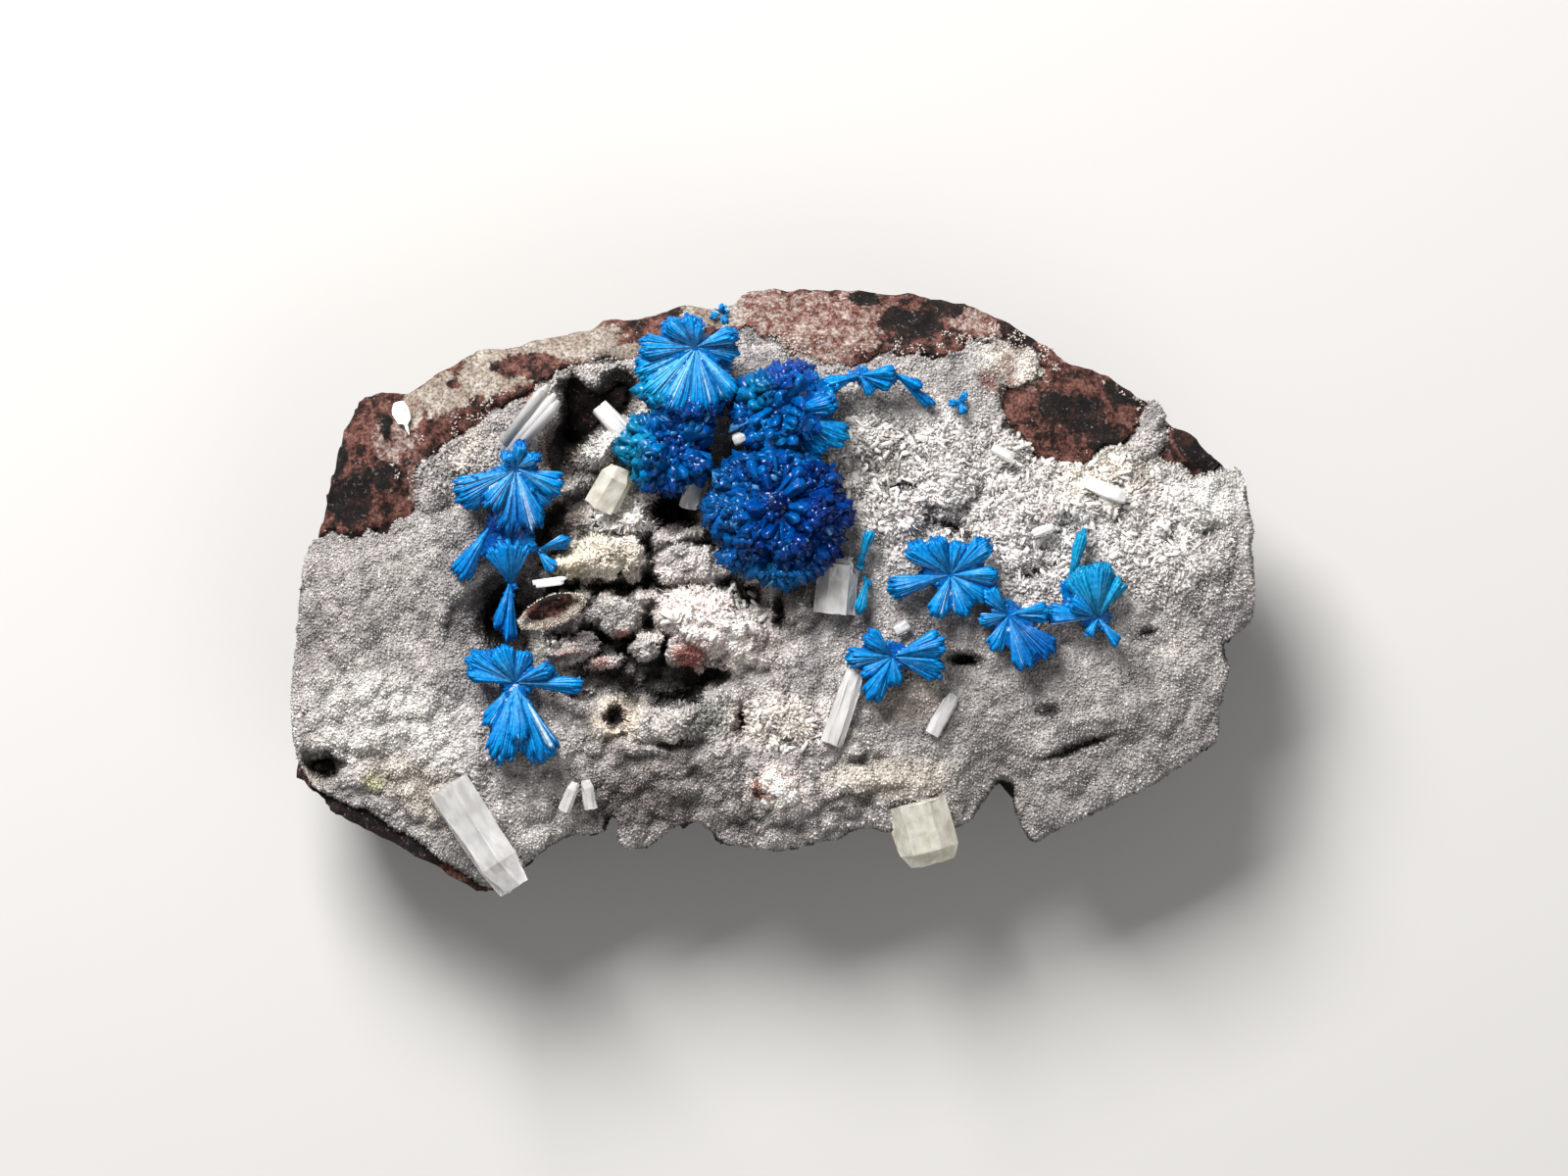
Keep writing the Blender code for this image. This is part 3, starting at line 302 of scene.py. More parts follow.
SINKS = [
    (-28.1, -2.6, 1.7, 3.6, 0, 3.6), (-19.3, 18, 1.4, 1.9, 15, 2.6), (-16, 19.6, 2.2, 1.6, 35, 1.8),
    (-21.4, 8.6, 2.9, 1, 28, 2), (-15.9, -12.8, 1.1, 1.1, 0, 3), (-3, -13.1, 0.7, 1.7, 0, 3),
    (-10.6, 8.2, 2.4, 2.2, 0, 2.6), (-17.4, -4.6, 0.8, 0.8, 0, 1.2), (-15.2, -4.6, 0.8, 0.5, 0, 1),
    (-14.2, 1, 0.5, 2.2, 0, 1.6), (-11.9, -15.6, 2.6, 0.35, -4, 1.4), (0.9, -2, 0.5, 2, 0, 2.2),
    (13, 10.8, 1.7, 0.45, 2, 1.6), (18.3, 6.6, 2.8, 0.35, -30, 1.3), (27.6, 2.2, 1.9, 0.4, 20, 1.2),
    (31, -16, 3.8, 0.35, 19, 1.3), (28.2, -12.1, 1.2, 0.4, 0, 1), (19.7, -6.9, 1.5, 0.5, -6, 1.6),
    (38.5, -4.1, 0.8, 0.4, 0, 0.9), (45.2, 6.1, 1.4, 0.5, 0, 1), (9.5, -17.2, 2, 0.5, 8, 1.2),
    (-46.2, -17.8, 1.9, 1.2, -20, 1.6), (-24.4, 5.4, 1.4, 1.8, 0, 2), (-33.4, 8.4, 1, 0.6, 0, 0.7),
]


def heap(points):
    """Height of the vug's lumps. The places are shifted first, so that no lump is a true oval."""
    x = waved(points[:, 0], points, (0.7, 2.6, 11.0), (0.3, 0.9, 12.0))
    y = waved(points[:, 1], points, (0.7, 2.6, 17.0), (0.3, 0.9, 18.0))
    height = VUG_FLOOR + GRAVEL * clamp(knobs(points * [1, 1, 0], 2.4, 3.0))
    for *patch, top in BOULDERS:
        dome = clamp(1 - oval(x, y, *patch) ** 2.4) ** 0.5
        height = np.maximum(height, VUG_FLOOR + (top - VUG_FLOOR) * dome)
    return FACE + height


def sunk(points, old_height):
    """The face's new height at each place, from its height in the solid."""
    x, y, _ = points.T
    share = soft_patch(x, y, VUG, VUG_EDGE)
    height = old_height + share * (heap(points) - old_height)
    for *patch, rise in SWELLS:
        height = height + rise * clamp(1 - oval(x, y, *patch) ** 2) ** 0.6
    for *patch, depth in SINKS:
        height -= depth * np.exp(-oval(x, y, *patch) ** 4)
    return height


# %% Shape the druse bed
CRUST_LEAST = 0.9     # thickness in mm that the crust keeps under its deepest places
OFF_SKIN = 0.2        # mm over a corner at which its ray starts

bed = fine_skin("druse_crust", "druse_bed", square=0.43, rounds=5)
spots, normals = places(bed.data)
crust = ray_tree(bed.data)
roof = np.full(len(spots), np.nan)
for i, spot in enumerate(spots):
    hit = crust.ray_cast(Vector(spot) + OFF_SKIN * UP, UP)[0]
    if hit is not None:
        roof[i] = hit.z
top = np.isnan(roof)
new_face = sunk(spots * [1, 1, 0], np.where(top, spots[:, 2], roof))
under_face = np.minimum(spots[:, 2], new_face - CRUST_LEAST)
spots[:, 2] = np.where(top & (normals[:, 2] > 0.05), new_face, under_face)
put_places(bed.data, spots)
print("druse bed:", len(spots), "corners,", int(top.sum()), "on its face")

# %% [markdown]
# Real druse is botryoidal: its crystals coat round knobs of one to three millimetres, with creases
# between them that are painted darker as shade further down. A cell noise gives the knobs, bold
# round the vug and along the upper right, and faint on the smooth left and lower right.

# %% Where the crust ends against bare basalt
BORDERS = [
    [(-45.4, 6), (-42.8, 5.5), (-40, 6.5), (-38.1, 7.2), (-36, 8), (-36.9, 9.8), (-37, 12.2),
     (-35.8, 13.6), (-33.6, 14.7), (-32, 15.9), (-29.9, 17.6), (-27.9, 18.9), (-25.4, 19.9),
     (-21.9, 21.6), (-20.8, 22.9), (-18.6, 23.6), (-13.8, 23.6), (-11.6, 25.1), (-8.8, 25.9),
     (-5.2, 26.9), (-3.2, 27.8), (-0.8, 25.9), (3, 24.4), (5.5, 23.4), (9.2, 23.4), (13.2, 24.4),
     (16.9, 23.6), (19.6, 24.9), (21.1, 26.4), (23.9, 26.1), (26.2, 24.6), (28.1, 22.4),
     (26.6, 21.1), (23.9, 20.6), (23.4, 19.1), (24.2, 16.1), (27.1, 13.2), (29.1, 12.8), (33, 13.9),
     (35, 15.2), (37.5, 16.8), (38, 18.9)],
    [(40.9, 16.1), (39.5, 13.8), (40.9, 12.7), (42.9, 12.2), (46.1, 11.9)],
]


def from_border(points):
    """The shortest way in mm from each point to the crust's border, seen from above."""
    nearest = np.full(len(points), np.inf)
    for path in BORDERS:
        for start, end in zip(np.array(path), np.array(path[1:])):
            run, way = end - start, points[:, :2] - start
            share = clamp((way @ run) / (run @ run))
            nearest = np.minimum(nearest, np.linalg.norm(way - share[:, None] * run, axis=1))
    return nearest


# %% Knobs and fine swell
UPPER_RIGHT, BOTTOM_MIDDLE = (24.0, 8.0, 20.0, 9.0, -8), (-6.0, -19.0, 18.0, 7.0)
RUGGED = [(-12.0, -5.0, 15.0, 17.0), UPPER_RIGHT, BOTTOM_MIDDLE,
          (-38.0, -17.0, 11.0, 7.0, -30), (-30.0, 14.0, 5.0, 4.0)]
DEEPEST, HIGHEST = -0.9, 0.55         # mm that the knobs may take off the bed and add to it
MEAN_LIFT = 0.15                      # mm by which the knobs would raise it on the whole
EDGE_WIDTH, EDGE_DROP = 3.0, 0.8      # mm: the crust thins out this near its border, by this much
RIM_TOP, RIM_SHIFT = 14.4, [2.0, 1.4, 0.0]    # mm: the right end's rim, and how far it is drawn in

spots, normals = places(bed.data)
x, y, z = spots.T
rugged = any_patch(x, y, RUGGED, 0.25)
broad_knobs, round_knobs, small_knobs = (
    knobs(spots, size, shift) for size, shift in ((2.7, 9.0), (1.7, 0.0), (0.95, 4.0)))
lift = waved(0, spots, (0.16, 3.4), (0.05, 1.6, 5.0)) + 0.34 * (broad_knobs - 0.6)
lift += ((0.36 + 0.40 * rugged) * (round_knobs - 0.6)
         + (0.10 + 0.12 * rugged) * (small_knobs - 0.5) - MEAN_LIFT)
outer = clamp(normals[:, 2] + 0.7)
edge = clamp(1 - from_border(spots) / EDGE_WIDTH) * (z > SIDES)
lift -= edge * waved(0.35, spots, (0.6, 1.5, 14.0))
spots = spots + normals * (clamp(lift, DEEPEST, HIGHEST) * outer)[:, None]
spots[:, 0] += edge * waved(0, spots, (1.1, 2.0, 21.0), (0.5, 0.8, 22.0))
spots[:, 1] += edge * waved(0, spots, (1.1, 2.0, 23.0), (0.5, 0.8, 24.0))
spots[:, 2] -= EDGE_DROP * edge
# The rim at the right end would hang free as a thin sliver, so it is drawn in against the basalt.
# The tints further down are laid by x, y and z, as they are before that.
x, y, z = spots.T
right_end = np.maximum(clamp((x - 43) / 1.5) * clamp((y + 10) / 2), clamp(x + y - 56.5))
drawn_in = clamp((RIM_TOP - z) / 1.4) * right_end
spots = spots - drawn_in[:, None] * RIM_SHIFT
put_places(bed.data, spots)
print("knobs lift", round(float(lift.min()), 2), "to", round(float(lift.max()), 2), "mm")

# %% [markdown]
# The crust's colour drifts from grey-lilac to warm white. Rust, clay and an iron-red stain sit in
# some of its hollows. The gaps of the vug, its deep places, cracks and holes are painted near-black
# as shade, creases and low places are painted darker as shade, and high places are painted lighter
# as if lit. The tints are oval patches in the specimen's own millimetres, laid over a base colour
# that wanders slowly. They are painted on the bed's corners, and each crystal takes the colour of
# the place that it grows on.

# %% How far a place stands out
def relief(points, reach, square=0.4):
    """How far each point stands over the mean height within this reach, in mm."""
    columns = np.floor((points[:, :2] - points[:, :2].min(axis=0)) / square).astype(int)
    heights = np.full(columns.max(axis=0) + 1, -1.0)
    np.maximum.at(heights, tuple(columns.T), points[:, 2])
    known = (heights > 0).astype(float)
    total = heights * known
    for _ in range(round((reach / square) ** 2 / 2)):
        for axis in (0, 1):
            total, known = ((np.roll(grid, 1, axis) + grid + np.roll(grid, -1, axis)) / 3
                            for grid in (total, known))
    return points[:, 2] - (total / np.maximum(known, TINY))[tuple(columns.T)]


# %% Tints of the druse
# The near-black tints #191311, #1A1311, #1C1614 and #2B211D in cracks, slits and holes, and #3B302B
# and #4A3F3A beside the hollow and under the dark ball, are painted shade. The other tints are the
# crust's own tones and stains.
TINTS = [
    ("#C9C5C2", 0.75, (27, 8, 19, 9.5, -8)), ("#D2CEC9", 0.6, (8, 15, 6, 6)),
    ("#98938F", 0.6, (-40, -4, 8.5, 9)), ("#8C8784", 0.65, (28, -15, 19, 8, 15)),
    ("#DAD6D1", 0.75, (-39.2, -13.6, 8, 4.6, -12)), ("#7A7370", 0.7, (-12, -20.5, 11, 5)),
    ("#564F4C", 0.85, (-13.3, -21.6, 5.6, 2.8)), ("#564F4C", 0.85, (-2.4, -23.6, 1.3, 2.3)),
    ("#2B211D", 0.9, (9.6, -21.3, 1.2, 0.5)), ("#E2D7D1", 0.95, (-6.2, -3.4, 6.8, 3.8, -20)),
    ("#D6CDBC", 0.9, (-17.6, 3.2, 4.6, 3)), ("#D2C6A6", 0.6, (-20.8, 2.6, 1.7, 1.7)),
    ("#E6E2DC", 0.85, (-14.8, 8, 4, 2.2)), ("#D8D4CF", 0.8, (-17.8, 14, 4.4, 1.8, 37)),
    ("#6B5548", 0.9, (-21.6, 14.6, 2, 3.2, -20)), ("#1A1311", 0.97, (-19, 17.8, 2.2, 2.6, 15)),
    ("#3B302B", 0.9, (-15.6, 20.4, 2.6, 2, 35)), ("#7A3024", 0.9, (-8.2, -6.4, 1.7, 1.5)),
    ("#DCD0BE", 0.9, (-15.8, -12.8, 2.4, 2.2)), ("#3A211B", 0.97, (-15.8, -12.8, 1.2, 1.1)),
    ("#5A201B", 0.97, (-3, -13.2, 0.8, 1.7)), ("#8E4A30", 0.9, (-0.6, -20.4, 1.5, 0.8, -20)),
    ("#B4B980", 0.7, (-40.5, -19.3, 1.2, 0.9)), ("#6E6448", 0.7, (-46.2, -18, 2, 1.5)),
    ("#9A6F66", 0.7, (-17.5, -7.2, 1.3, 0.6)), ("#7A5246", 0.6, (-21, -6.4, 1.5, 0.5, 20)),
    ("#D9D2C8", 0.6, (-23.4, -5.4, 1.6, 1)), ("#8C4B3D", 0.85, (-14.9, -4.4, 1, 0.5)),
    ("#6A625E", 0.8, (-20.9, -2.6, 1.9, 1.6)), ("#CBC2AE", 0.4, (34, 12, 5, 3)),
    ("#C9C0AE", 0.5, (12, -19, 6, 2)), ("#D9D6D2", 0.8, (44, 9.4, 4, 2.6)),
    ("#7E4F42", 0.8, (22.8, 22.4, 1.3, 0.8, 40)), ("#7B4A3D", 0.7, (-24.6, 20, 1.4, 0.6)),
    ("#C7BFB6", 0.7, (-31, 14.6, 3, 2.4)), ("#5F6259", 0.8, (-6.6, -13.4, 1.8, 2)),
    ("#7D7672", 0.6, (3, -1.9, 1.8, 2.2)), ("#EFE4DC", 0.9, (0.4, -20.2, 2.8, 2.2)),
    ("#5A2A18", 0.97, (-1.4, -20, 0.4, 1.2)), ("#5A2A18", 0.97, (-0.7, -20.8, 1, 0.4, -15)),
    ("#DDD6CC", 0.8, (0.8, -13.2, 4.6, 2.4)), ("#6E5C52", 0.8, (-21.6, 7.6, 3.4, 1.4, 28)),
    ("#4A3F3A", 0.8, (-9.8, 8.8, 3.4, 2.6)), ("#1C1614", 0.95, (-28.2, -2.6, 1.9, 3.8)),
    ("#B9AF9E", 0.5, (-36, -20, 6, 2.4, -30)), ("#C4B7A8", 0.5, (13.8, -9.5, 4.5, 3.5)),
    ("#191311", 0.97, (13, 10.8, 1.9, 0.65, 2)), ("#191311", 0.97, (31, -16, 4, 0.55, 19)),
    ("#191311", 0.97, (19.7, -6.9, 1.9, 0.7, -6)), ("#DCD4C8", 0.8, (24.8, 23.4, 3.4, 2.4, -40)),
    ("#6E3A2E", 0.8, (24.4, 22.8, 0.5, 2, 10)), ("#6E3A2E", 0.7, (22.4, 21.2, 1.6, 0.5, -30)),
    ("#191311", 0.97, (18.3, 6.6, 2.8, 0.5, -30)), ("#191311", 0.95, (27.6, 2.2, 2.2, 0.5, 20)),
    ("#191311", 0.95, (38.5, -4.1, 1, 0.55)), ("#191311", 0.9, (28.2, -12.1, 1.4, 0.5)),
    ("#6B625D", 0.7, (11.6, 13.6, 2.2, 2)), ("#2B211D", 0.9, (0.9, -2, 0.5, 2)),
]
VUG_SHADE = (-12.0, 1.0, 15.5, 21.0)
GREY_LILAC, WARM_WHITE, PIT_SHADE = dye("#938E8D"), dye("#BDB8B4"), dye("#15100E")
EARLY_DARK, LATE_DARK = 3.0, 5.6      # mm under the face where the painted shade of deep places begins and where it is full
WHITEST = 0.95                        # no stone is quite white

colours = clamp(waved(0.5, spots, (0.9, 5.0, 2.0), (0.5, 1.4, 9.0)))[:, None]
colours = GREY_LILAC + colours * (WARM_WHITE - GREY_LILAC)
ragged = 0.35 * wander(spots, 1.3, 4.0)
for shade, strength, patch in TINTS:
    near = soft_patch(x, y, patch, 0.5) > 0
    share = strength * clamp(soft_patch(x, y, patch) + ragged) * near
    colours = colours + share[:, None] * (dye(shade) - colours)
# Painted shade and light: creases between the knobs and places lower than their surroundings are
# painted darker, and places that stand out are painted lighter.
crease = clamp(round_knobs) * 0.6 + clamp(small_knobs) * 0.4
colours *= waved(0.95, spots, (0.20, 2.4, 31.0), (0.14, 0.9, 32.0))[:, None]
colours *= ((0.91 - 0.14 * rugged) + (0.18 + 0.22 * rugged) * crease)[:, None]
stands = clamp(relief(spots, 2.4), -2.5, 1.2) * (z > SIDES)
relief_shade = 0.32 * stands + 0.5 * clamp(relief(spots, 0.9), -0.9, 0.4) * (z > SIDES)
# The painted shade in creases and low places is stronger round the vug and at the bottom middle.
darker = np.maximum(soft_patch(x, y, VUG_SHADE, 0.3), soft_patch(x, y, BOTTOM_MIDDLE))
colours *= clamp(1.0 + (0.65 + 0.35 * darker) * relief_shade, 0.18, 1.3)[:, None]
# Painted light: the upper right is painted brighter, for the glow of its glassy depths.
colours *= 1 + 0.22 * soft_patch(x, y, UPPER_RIGHT)[:, None]    # glassy depths glow a little
# Painted shade: places deep under the face round the vug are painted near-black, as they lie in
# shadow.
depth = FACE - spots[:, 2] + 0.8 * wander(spots, 1.8, 8.0)
pit_shade = clamp((depth - EARLY_DARK) / (LATE_DARK - EARLY_DARK)) * soft_patch(x, y, VUG_SHADE, 0.1)
colours += 0.95 * pit_shade[:, None] * (PIT_SHADE - colours)
paint(bed.data, clamp(colours, 0, WHITEST))
print("tints laid:", len(TINTS))

# %% [markdown]
# Druse is a glassy grain: each crystal has a few flat faces that flash when they catch the lamp, and
# a share of the crystals is also painted brighter as glints.
# The bed between them is duller. The druse and the blue crystals further down share one kind of
# shader, which is the painted tint and a fine noise for both flecks and bumps. Its roughness is low
# on the crystals.


# %% Druse materials
CRYSTAL_IOR = 1.54    # of cavansite, and close enough for the druse


def tinted_material(name, roughness, darker, size, detail, strength, depth, shine=0.5):
    """The painted tint under flecks that are this much darker, with bumps. The noise has this size
    in mm, and depth is the bumps' in mm."""
    material, tree, shader = new_material(name, roughness, CRYSTAL_IOR)
    shader.inputs["Specular IOR Level"].default_value = shine
    coords = add_node(tree, "TexCoord").outputs["Object"]
    tint = add_node(tree, "Attribute", {"attribute_name": "tint"}).outputs["Color"]
    fleck = add_node(tree, "TexNoise", {}, {"Scale": grain(size), "Detail": detail},
                     {"Vector": coords}).outputs["Fac"]
    shade = add_node(tree, "ValToRGB", links={"Fac": fleck},
                     stops=((0.3, darker), (0.7, "#FFFFFF"))).outputs["Color"]
    mixed = add_node(tree, "Mix", MULTIPLY_COLOUR, {FACTOR: 1.0},
                     {FIRST: tint, SECOND: shade})
    tree.links.new(mixed.outputs[MIXED], shader.inputs["Base Color"])
    bump = add_node(tree, "Bump", {}, {"Strength": strength, "Distance": depth * MM},
                    {"Height": fleck})
    tree.links.new(bump.outputs[0], shader.inputs["Normal"])
    return material


DRUSE_NOISE = dict(size=0.3, detail=3.0, strength=0.5)
bed_material = tinted_material("druse_bed", 0.6, "#A8A4A2", depth=0.15, **DRUSE_NOISE)
grain_material = tinted_material("druse_crystals", 0.16, "#DAD6D4", depth=0.04, **DRUSE_NOISE)
finish_piece(bed, bed_material, "druse", "druse_crust")

# %% [markdown]
# Tens of thousands of crystals grow on the bed. The finest are four-sided points of six triangles.
# Copies are laid out by arrays of places, sizes and turns, and kept as plain meshes of under
# 200,000 triangles. Even spacing comes from a grid of cells that keeps one seed in each, the
# cheapest way to stop crystals from crowding.


# %% Laying out copies of one small shape
BRIGHTEST = 0.97      # of any crystal, when it flashes


def shape_of(make):
    """Corners and faces of a small shape made by bmesh operators."""
    bm = bmesh.new()
    make(bm)
    bm.verts.ensure_lookup_table()
    corners = np.array([v.co for v in bm.verts])
    faces = [[v.index for v in f.verts] for f in bm.faces]
    bm.free()
    return corners, faces


def lay_copies(name, shape, spots, axes, colours):
    """One mesh of a copy at each spot. axes are its three scaled directions, in mm, and colours
    hold one linear colour for each copy, or one for each corner of each copy."""
    corners, faces = shape
    count, each = len(spots), len(corners)
    laid = spots[:, None, :] + np.einsum("vk,nkc->nvc", corners, axes)
    mesh = bpy.data.meshes.new(name)
    sizes = np.array([len(f) for f in faces])
    loops = np.concatenate(faces)
    mesh.vertices.add(count * each)
    mesh.vertices.foreach_set("co", (np.clip(laid, *BOX) * MM).ravel())
    mesh.loops.add(count * len(loops))
    corner_numbers = loops[None, :] + each * np.arange(count)[:, None]
    mesh.loops.foreach_set("vertex_index", corner_numbers.ravel().astype(np.int32))
    mesh.polygons.add(count * len(faces))
    starts = np.concatenate([[0], np.cumsum(np.tile(sizes, count))[:-1]])
    mesh.polygons.foreach_set("loop_start", starts.astype(np.int32))
    mesh.update(calc_edges=True)
    mesh.validate()
    if colours.ndim == 2:
        colours = np.repeat(colours[:, None, :], each, axis=1)
    paint(mesh, clamp(colours.reshape(-1, 3), 0, BRIGHTEST))
    return new_object(name, mesh)


def unit(rows):
    return rows / np.maximum(np.linalg.norm(rows, axis=-1, keepdims=True), TINY)


def frames(directions, turns):
    """For each direction, three square axes with the third along it, turned about it."""
    side = np.where(np.abs(directions[:, 2:]) < 0.9, [[0.0, 0.0, 1.0]], [[1.0, 0.0, 0.0]])
    first = unit(np.cross(side, directions))
    second = np.cross(directions, first)
    c, s = np.cos(turns)[:, None], np.sin(turns)[:, None]
    return np.stack([c * first + s * second, -s * first + c * second, directions], axis=1)


def seeds_on(mesh, spacing, keep, tries=5):
    """Spots on the mesh about this far apart in mm where keep says so, with their normals and the
    tint of the mesh there."""
    mesh.calc_loop_triangles()
    corners = np.empty(len(mesh.loop_triangles) * 3, np.int32)
    mesh.loop_triangles.foreach_get("vertices", corners)
    corners = corners.reshape(-1, 3)
    spots, _ = places(mesh)
    a, b, c = (spots[corners[:, i]] for i in range(3))
    cross = np.cross(b - a, c - a)
    area = np.linalg.norm(cross, axis=1) / 2
    count = int(area.sum() / spacing ** 2 * tries)
    chosen = chance.choice(len(area), count, p=area / area.sum())
    u, v = chance.random(count), chance.random(count)
    flip = u + v > 1
    u[flip], v[flip] = 1 - u[flip], 1 - v[flip]
    found = a[chosen] + u[:, None] * (b - a)[chosen] + v[:, None] * (c - a)[chosen]
    facing = unit(cross[chosen])
    kept = keep(found, facing)
    found, facing, chosen = found[kept], facing[kept], chosen[kept]
    cells = np.floor(found / spacing).astype(np.int64)
    _, first = np.unique(cells, axis=0, return_index=True)
    first.sort()
    tints = np.ones((len(first), 3))
    if "tint" in mesh.color_attributes:
        whole = np.empty(len(mesh.vertices) * 4)
        mesh.color_attributes["tint"].data.foreach_get("color", whole)
        tints = whole.reshape(-1, 4)[corners[chosen[first], 0], :3]
    return found[first], facing[first], tints


# %% Shapes of druse crystals
def point_crystal(bm):
    """A low four-sided point, sunk a little into the bed."""
    bmesh.ops.create_cone(bm, cap_ends=True, segments=4, radius1=0.62, radius2=0.0, depth=1.0,
                          matrix=Matrix.Translation((0, 0, 0.25)))


def spear(bm):
    """A flat blade with a drawn-in end, for the coarse feathery druse."""
    bmesh.ops.create_cone(bm, cap_ends=True, segments=4, radius1=0.42, radius2=0.5, depth=1.0,
                          matrix=Matrix.Translation((0, 0, 0.2)))
    for v in bm.verts:
        if v.co.z > 0:
            v.co.x *= 0.55
            v.co.y *= 0.25


def tablet(bm):
    """A flat six-sided tablet with bevelled long edges, lying on its side."""
    bmesh.ops.create_cone(bm, cap_ends=True, segments=6, radius1=0.5, radius2=0.5, depth=1.0)
    bmesh.ops.scale(bm, vec=(1.0, 0.45, 1.0), verts=bm.verts[:])
    for v in bm.verts:
        if abs(v.co.x) > 0.4:
            v.co.z *= 0.72


# %% Where the druse is coarse
COARSE = [
    (27, 8, 19, 9, -8), (-7.8, -0.4, 4.6, 1.3, -24), (-8.6, -12.6, 4.6, 2.4), (-16.6, 4.6, 3, 1.2),
    (0.8, -13.2, 4.6, 2.6), (-17.8, 14, 4.2, 2, 37), (42, 3, 6, 5), (-14.8, 8, 4.2, 2.4),
    (8, 16, 5, 5), (-33, 12.6, 3.6, 3),
]
# Tufts: X, Y, radius, in mm. Their crystals lean away from a root under the middle.
TUFTS = [
    (-14.8, 7.4, 3.6), (-7.8, -1.6, 3.4), (13.2, 8.1, 3.2), (1.4, -14.2, 4.2), (22, 12.6, 2.6),
    (29, 8.4, 2.8), (36.6, 9.6, 2.6), (40.4, 3.6, 2.8), (7.6, 13.6, 3), (0.2, -20, 2.6),
    (-32.6, 12.4, 2.6),
]


def coarse(spots):
    x, y, _ = spots.T
    return waved(any_patch(x, y, COARSE, 0.3), spots, (0.35, 2.2, 6.0)) >= 0.5


def on_face(found, facing):
    """Places that look up or sideways, and near the face also those under an overhang."""
    return (facing[:, 2] > -0.1) | ((facing[:, 2] > -0.75) & (found[:, 2] > SIDES + 1))


def tuft_lean(spots, facing):
    """Which way each crystal would point if its tuft ruled, and how strongly it does."""
    aim, rule = facing.copy(), np.zeros(len(spots))
    for cx, cy, radius in TUFTS:
        near = oval(spots[:, 0], spots[:, 1], cx, cy, radius, radius) < 1
        away = unit(spots[near] - [cx, cy, FACE - 0.6 * radius])
        aim[near] = unit(away * [1.0, 1.0, 0.55])
        rule[near] = 1.0
    return aim, rule


BARE = 0.035          # the near-black painted shade of the gaps, darker than this, carries no crystals
TUFT_PULL, TUFT_GROWTH = 0.55, 0.3    # how far spears lean with their tuft, and how much longer
# A share of the crystals is painted brighter, as painted glints.
GLOW, GLINT_SHARE = (0.78, 1.14), 0.10   # brightness over the bed's tint, and the share that flashes


def grow_druse(name, host, shape, keep, spacing, wide, tall, lean, flash, pieces=1):
    """Crystals where keep says so: their spacing, widths and heights in mm, how unevenly they lean,
    and how much brighter the ones painted as glints are."""
    spots, facing, tints = seeds_on(host.data, spacing, keep)
    lit = tints.max(axis=1) > BARE
    spots, facing, tints = spots[lit], facing[lit], tints[lit]
    count = len(spots)
    away, rule = tuft_lean(spots, facing) if shape is SPEAR else (facing, np.zeros(count))
    aim = facing + TUFT_PULL * rule[:, None] * away
    aim = unit(aim + lean * chance.normal(size=(count, 3)))
    axes = frames(aim, chance.uniform(0, 2 * math.pi, count))
    width = chance.uniform(*wide, count)
    axes[:, 0] *= width[:, None]
    axes[:, 1] *= (width * chance.uniform(0.6, 1.0, count))[:, None]
    axes[:, 2] *= (chance.uniform(*tall, count) * (1 + TUFT_GROWTH * rule))[:, None]
    glow = chance.uniform(*GLOW, (count, 1)) + flash * (chance.random((count, 1)) < GLINT_SHARE)
    colours = tints * glow
    order = np.argsort(spots[:, 0])
    for i, part in enumerate(np.array_split(order, pieces)):
        finish_piece(lay_copies(f"{name}_{i + 1}", shape, spots[part], axes[part], colours[part]),
                     grain_material, "druse")
    print(name, count, "crystals")


POINT, SPEAR, TABLET = shape_of(point_crystal), shape_of(spear), shape_of(tablet)
grow_druse("druse_fine", bed, POINT, lambda p, n: on_face(p, n) & ~coarse(p), spacing=0.34,
           wide=(0.30, 0.48), tall=(0.24, 0.44), lean=0.22, flash=0.8, pieces=3)
grow_druse("druse_middling", bed, POINT, lambda p, n: on_face(p, n) & coarse(p), spacing=0.40,
           wide=(0.36, 0.66), tall=(0.36, 0.70), lean=0.30, flash=0.35)
grow_druse("druse_coarse", bed, SPEAR, lambda p, n: on_face(p, n) & coarse(p), spacing=0.54,
           wide=(0.24, 0.46), tall=(0.45, 1.0), lean=0.45, flash=0.3)

# %% [markdown]
# Over the upper right lie flat tablets of stilbite, 0.8 to 1.9 mm long, at all angles. They are
# six-sided and thin, and a few of them stand in the vug and below the middle as well.

# %% Loose-looking tablets, each grown to the crust
TABLET_FIELDS = [
    (26, 9, 18, 7.5, -8), (-6, -2, 5, 3), (9, 14, 5, 4), (-15.6, 7.4, 3.4, 2), (2, -14, 4, 2.4),
]
TABLET_SPACING, TABLET_LIFT = 1.35, 0.18      # mm
spots, facing, _ = seeds_on(bed.data, TABLET_SPACING, lambda p, n: (n[:, 2] > 0.3) & (
    any_patch(p[:, 0], p[:, 1], TABLET_FIELDS, 0.2) > 0.5))
count = len(spots)
sideways = unit(chance.normal(size=(count, 3)) * [1, 1, 0.35] + 0.25 * facing)
axes = frames(sideways, chance.normal(0, 0.5, count))
width = chance.uniform(0.34, 0.70, count)
axes[:, :2] *= width[:, None, None]
axes[:, 2] *= chance.uniform(0.8, 1.9, count)[:, None]
colours = dye("#E9E6E2") * chance.uniform(0.85, 1.1, (count, 1))
finish_piece(lay_copies("stilbite_tablets", TABLET, spots + TABLET_LIFT * facing, axes, colours),
             grain_material, "white_stilbite")
